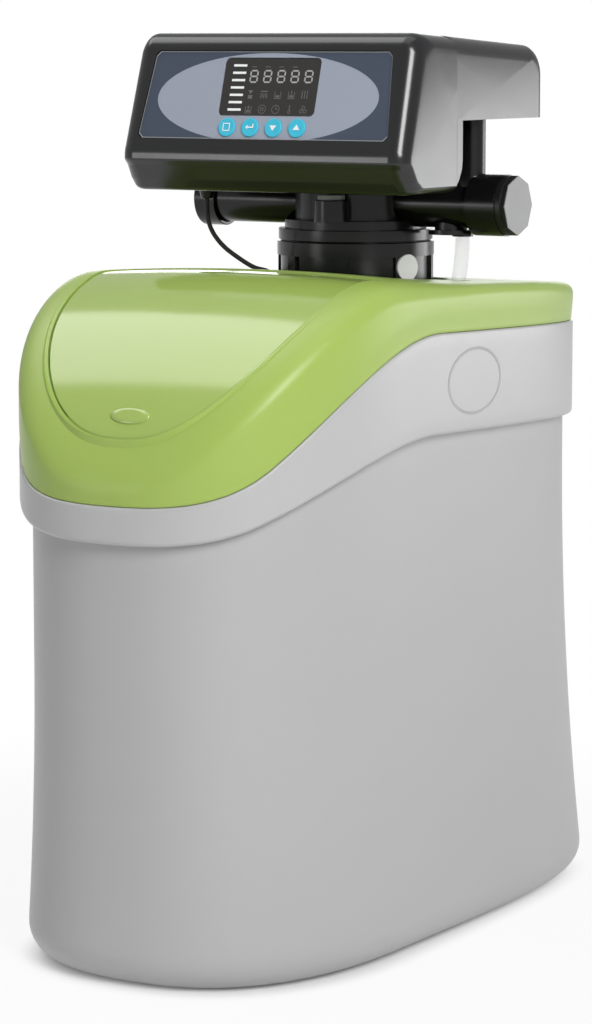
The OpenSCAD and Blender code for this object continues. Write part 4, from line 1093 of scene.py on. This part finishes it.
def sliceOff(piece, at, away):  # cuts flat and keeps the side that the arrow points away from
    openMesh(piece)
    bpy.ops.mesh.bisect(plane_co=Vector(at) * mm, plane_no=away, use_fill=True, clear_outer=True)
    closeMesh()


def panelFlat(grow):  # the panel's outline
    b, u, h = (panelSet[key] + grow for key in ("halfLow", "halfHigh", "halfTall"))
    c = panelSet["corner"]
    return [(c - b, -h), (b - c, -h), (b, c - h), (u, h - c), (u - c, h), (c - u, h), (-u, h - c), (-b, c - h)]


def panelPrism(name, grow, low, high):
    flat = panelFlat(grow)
    rows = [[onPanel(x, s, h) for x, s in flat] for h in (low, high)]
    rows = [[onPanel(0, 0, low)] * len(flat)] + rows + [[onPanel(0, 0, high)] * len(flat)]
    prism = layRows(name, rows)
    weld(prism)
    return prism


def finishShell(shell, nodeName):
    softEdge(shell, 0.5)
    smoothBy(shell, 32)
    finishWith(shell, "WEIGHTED_NORMAL", keep_sharp=True)
    paintAs(shell, finishes["black_gloss"])
    return settle(shell, "cabinet", "black_gloss", nodeName)


def makeFrontCase():
    case = caseLoft()
    wall = head["wall"]
    sliceOff(case, (0, caseSet["backY"], caseSet["middleZ"]), (0, 1, 0))
    hollow = crossLoft("bezelInner", bezelSide, head["half"], head["bezelEnd"] - wall, wall)
    cutWith(hollow, crossLoft("chinInner", chinSide, head["half"] - 2, 6, wall), "UNION")
    cutWith(case, hollow)
    cutWith(case, panelPrism("panelCut", 0.2, -12, 20))
    return finishShell(case, "front_case")


makeFrontCase()

roofSet = {"z": 490.7, "y": -29.86, "slope": 0.054, "frontY": 10.2, "lowZ": 443.3, "stripX": (-90, 87.4),
           "stripMiddle": (13, 425)}


def roofZ(y):
    return roofSet["z"] - roofSet["slope"] * (y - roofSet["y"])


roofSide = [(-10, 431, 0.15), (-10, roofZ(-10), 0.15), (113.5, roofZ(113.5), 17), (113.5, 431, 0.15)]
roofInner = [(4, 436, 0.15), (4, roofZ(4) - 2.6, 0.15), (110.9, roofZ(110.9) - 2.6, 15), (110.9, 436, 0.15)]
stripSide = [(10.2, 409, 0.2), (12.6, 411.6, 2), (15.6, 417, 3), (16.4, 422, 3), (16.4, 444.3, 0.2),
             (10.2, 444.3, 0.2)]


def makeRearCover():
    cover = crossLoft("rearCover", roofSide, head["half"], head["roofEnd"])
    sliceOff(cover, (0, roofSet["frontY"], caseSet["middleZ"]), (0, -1, 0))
    sliceOff(cover, (0, 60, roofSet["lowZ"]), (0, 0, -1))
    cutWith(cover, crossLoft("rearInner", roofInner, head["half"] - head["wall"], 1.5))
    outline = roundCorners(stripSide, 0, 4)
    for x in roofSet["stripX"]:
        rows = [[(x + side, p.x, p.y) for p in outline] for side in (0, head["wall"])]
        ends = [[(x + side, *roofSet["stripMiddle"])] * len(outline) for side in (0, head["wall"])]
        tab = layRows("sideStrip", ends[:1] + rows + ends[1:])
        weld(tab)
        cutWith(cover, tab, "UNION")
    return finishShell(cover, "rear_cover")


makeRearCover()
print("head shells made")


# dressed copies of the valve's solids: merged, flat faces joined, edges softened

def dressNode(nodeName, pieceName, slot, edge=0.4, paint=None):
    clearPick()
    source = nodes[nodeName]
    piece = bpy.data.objects.new(pieceName, source.data.copy())
    bpy.context.scene.collection.objects.link(piece)
    piece.data.name = pieceName
    weld(piece, 1e-6)
    openMesh(piece, "FACE")
    bpy.ops.mesh.dissolve_limited(angle_limit=math.radians(1))
    closeMesh()
    softEdge(piece, edge, degrees=30)
    smoothBy(piece, 35)
    finishWith(piece, "WEIGHTED_NORMAL", keep_sharp=True)
    paintAs(piece, finishes[paint or slot])
    return settle(piece, "cabinet", slot, nodeName)


dressSet = {
    "neck_collar": ("neckCollar", "black_matt", 0.5), "valve_base": ("valveBase", "black_matt", 0.5),
    "valve_body": ("valveBody", "black_matt", 0.5), "valve_bonnet": ("valveBonnet", "black_matt", 0.5),
    "meter_housing": ("meterHousing", "black_matt", 0.6), "meter_stem": ("meterStem", "black_matt", 0.5),
    "port_cap": ("portCap", "cap_grey", 0.6, "port_cap_face"), "port_nut": ("portNut", "black_matt", 0.5),
    "injector_housing": ("injectorHousing", "black_matt", 0.5), "injector_cap": ("injectorCap", "cap_grey", 0.4),
    "brine_elbow": ("brineElbow", "black_matt", 0.4), "neck_plug": ("neckPlug", "white_plastic", 0.6),
    "drain_spigot": ("drainSpigot", "black_matt", 0.5), "cable_gland": ("cableGland", "black_matt", 0.4),
    "display_panel": ("displayPanel", "panel_blue", 0.25), "display_window": ("displayWindow", "display_black", 0.4),
}
for nodeName, values in dressSet.items():
    dressNode(nodeName, *values)
print("valve dressed")


# buttons and marks

def panelMatrix(x, s, h):  # frame on the panel, in metres
    place = Matrix.Translation(onPanel(x, s, h) * mm)
    return place @ Matrix.Rotation(math.pi / 2 - panelSet["tilt"], 4, "X")


buttonSet = {"radius": 5.2, "tall": 4.8, "middle": -1.4, "sides": 56, "pitch": 14.7, "s": -18,
             "names": ("menu", "set", "down", "up"), "icon": 1.02}


def makeButton(key, x):
    clearPick()
    bpy.ops.mesh.primitive_cylinder_add(vertices=buttonSet["sides"], radius=buttonSet["radius"] * mm,
                                        depth=buttonSet["tall"] * mm,
                                        location=(0, 0, buttonSet["middle"] * mm))
    cap = named(key + "Button")
    bpy.ops.object.transform_apply(location=True)
    openMesh(cap, "FACE", False)
    closeMesh()
    for face in cap.data.polygons:
        face.select = face.normal.z > 0.9
    bpy.ops.object.mode_set(mode="EDIT")
    bpy.ops.mesh.inset(thickness=0.0007)
    bpy.ops.mesh.inset(thickness=0.0022, depth=-0.00025)  # a slightly dished top
    bpy.ops.mesh.inset(thickness=0.0012, depth=-0.0001)
    closeMesh()
    softEdge(cap, 0.5, 3, 50)
    smoothBy(cap, 40)
    placeMesh(cap, panelMatrix(x, buttonSet["s"], 0))
    paintAs(cap, finishes["button_cyan"])
    return settle(cap, key + "_key", "button_cyan", key + "_button")


def flatMarks(name, shapes, h, paint, body, slot):  # flat shapes laid on the panel, printed marks and the painted edge highlight, each a list of x and s on the panel
    clearPick()
    bpy.ops.mesh.primitive_plane_add(size=0.001)
    marks = named(name)
    points, faces = [], []
    for shape in shapes:
        start = len(points)
        points += [onPanel(x, s, h) * mm for x, s in shape]
        faces.append(tuple(range(start, start + len(shape))))
    marks.data.clear_geometry()
    marks.data.from_pydata(points, [], faces)
    marks.data.update()
    paintAs(marks, paint)
    return settle(marks, body, slot)


def bar(x0, s0, x1, s1):
    return [(x0, s0), (x1, s0), (x1, s1), (x0, s1)]


def moved(shapes, dx, ds):
    return [[(x + dx, s + ds) for x, s in shape] for shape in shapes]


# painted highlight: a pale glowing line round the panel's edge, where its rounded rim catches the light
outer, inner = panelFlat(-0.15), panelFlat(-0.5)
paintedEdgeHighlight = [[outer[i - 1], outer[i], inner[i], inner[i - 1]] for i in range(len(outer))]
flatMarks("panelEdgeHighlight", paintedEdgeHighlight, 0.04, glowingInkSoft, "cabinet", "panel_blue")

iconSet = {
    "menu": [bar(-2.2, -2.2, 2.2, -1.7), bar(-2.2, 1.7, 2.2, 2.2),
             bar(-2.2, -1.7, -1.7, 1.7), bar(1.7, -1.7, 2.2, 1.7)],
    "set": [bar(-1.4, -0.35, 2.4, 0.35), bar(1.7, 0.35, 2.4, 2), [(-2.6, 0), (-1.2, -1.3), (-1.2, 1.3)]],
    "down": [[(-2.2, 1.2), (0, -1.9), (2.2, 1.2)]],
    "up": [[(-2.2, -1.2), (2.2, -1.2), (0, 1.9)]],
}
for i, key in enumerate(buttonSet["names"]):
    x = (i - 1.5) * buttonSet["pitch"]
    makeButton(key, x)
    shapes = moved(iconSet[key], x, buttonSet["s"])
    flatMarks(key + "Icon", shapes, buttonSet["icon"], glowingInkWhite, key + "_key", "white_plastic")

displaySet = {"face": -0.25, "barX": (-23.7, -15.3), "barS": 16, "barStep": 4.1, "barTall": 1.3, "bars": 7,
              "digitX": -12.6, "digitStep": 8.6, "digitS": 7, "digits": 5, "signIn": 2}


def digit(x, s, w=5.2, t=7.2, k=0.85):  # the seven strokes of a plain digit, from its lower left corner
    low, high = t / 2 - k / 2, t / 2 + k / 2
    flat = [bar(x + k, s + up, x + w - k, s + up + k) for up in (0, low, t - k)]
    spans = ((k, low), (high, t - k))
    return flat + [bar(x + side, s + up, x + side + k, s + end) for side in (0, w - k) for up, end in spans]


def ringMark(x, s, r, k=0.35, steps=20):  # thin ring as short bars
    turns = [2 * math.pi * i / steps for i in range(steps + 1)]
    return [[(x + span * math.cos(t), s + span * math.sin(t)) for span, t in ((r, a), (r, b), (r - k, b), (r - k, a))]
            for a, b in zip(turns, turns[1:])]


tank = [bar(-2, -2.4, 2, -2), bar(-2, -2, -1.6, 1.6), bar(1.6, -2, 2, 1.6), bar(-1.2, -1.6, 1.2, -0.4)]
comb = [bar(-2.1 + 0.95 * k, -2.2 + 0.5 * (k % 2), -1.7 + 0.95 * k, 0.7) for k in range(5)]
signRows = {  # height on the panel, and the small signs from left to right
    0.6: [
        [bar(-1.4, -2.4, 1.4, -0.4), [(-1.6, 2.2), (1.6, 2.2), (0, 0.1)]],
        [bar(-2.2, 1.4, 2.2, 2)] + comb,
        tank,
        tank + [bar(-0.25, -0.2, 0.25, 2.2)],
        [bar(-2.2 + 1.6 * k, -2.2, -1.7 + 1.6 * k, 2.2) for k in range(3)]],
    -7.6: [
        tank + [[(-0.9, 0.4), (0.9, 0.4), (0, 2.2)]],
        ringMark(0, 0, 2.5) + [bar(-0.9, -1.1, -0.4, 1.1), bar(0.4, -1.1, 0.9, 1.1)],
        ringMark(0, 0, 2.5) + [bar(-0.2, -0.2, 0.2, 1.7), bar(-0.2, -0.2, 1.4, 0.2)],
        ringMark(0, -1.4, 1) + [bar(-0.3, -0.5, 0.3, 2.4)],
        ringMark(-1.2, -1, 1.1) + ringMark(1.2, -1, 1.1) + ringMark(0, 1.1, 1.1)],
    15.9: [[bar(-1.6, -0.2, 1.6, 0.2)]] * 4,
}


def markDisplay():
    face, tall = displaySet["face"], displaySet["barTall"]
    left, right = displaySet["barX"]
    heights = [displaySet["barS"] - displaySet["barStep"] * k for k in range(displaySet["bars"])]
    bars = [bar(left, s, right, s + tall) for s in heights]
    flatMarks("displayBars", bars, face, glowingInkWhite, "cabinet", "white_plastic")
    places = [displaySet["digitX"] + displaySet["digitStep"] * k for k in range(displaySet["digits"])]
    strokes = [stroke for x in places for stroke in digit(x, displaySet["digitS"])]
    flatMarks("displayDigits", strokes, face, glowingInkSoft, "cabinet", "display_black")
    signs = []
    for s, row in signRows.items():
        for x, shapes in zip(places, row):
            signs += moved(shapes, x + displaySet["signIn"], s)
    flatMarks("displayIcons", signs, face, inkDim, "cabinet", "display_black")


markDisplay()
print("panel marked")

size = {"cad": cadBox, "visual": [list(corner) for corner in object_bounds()]}
print("box", size)
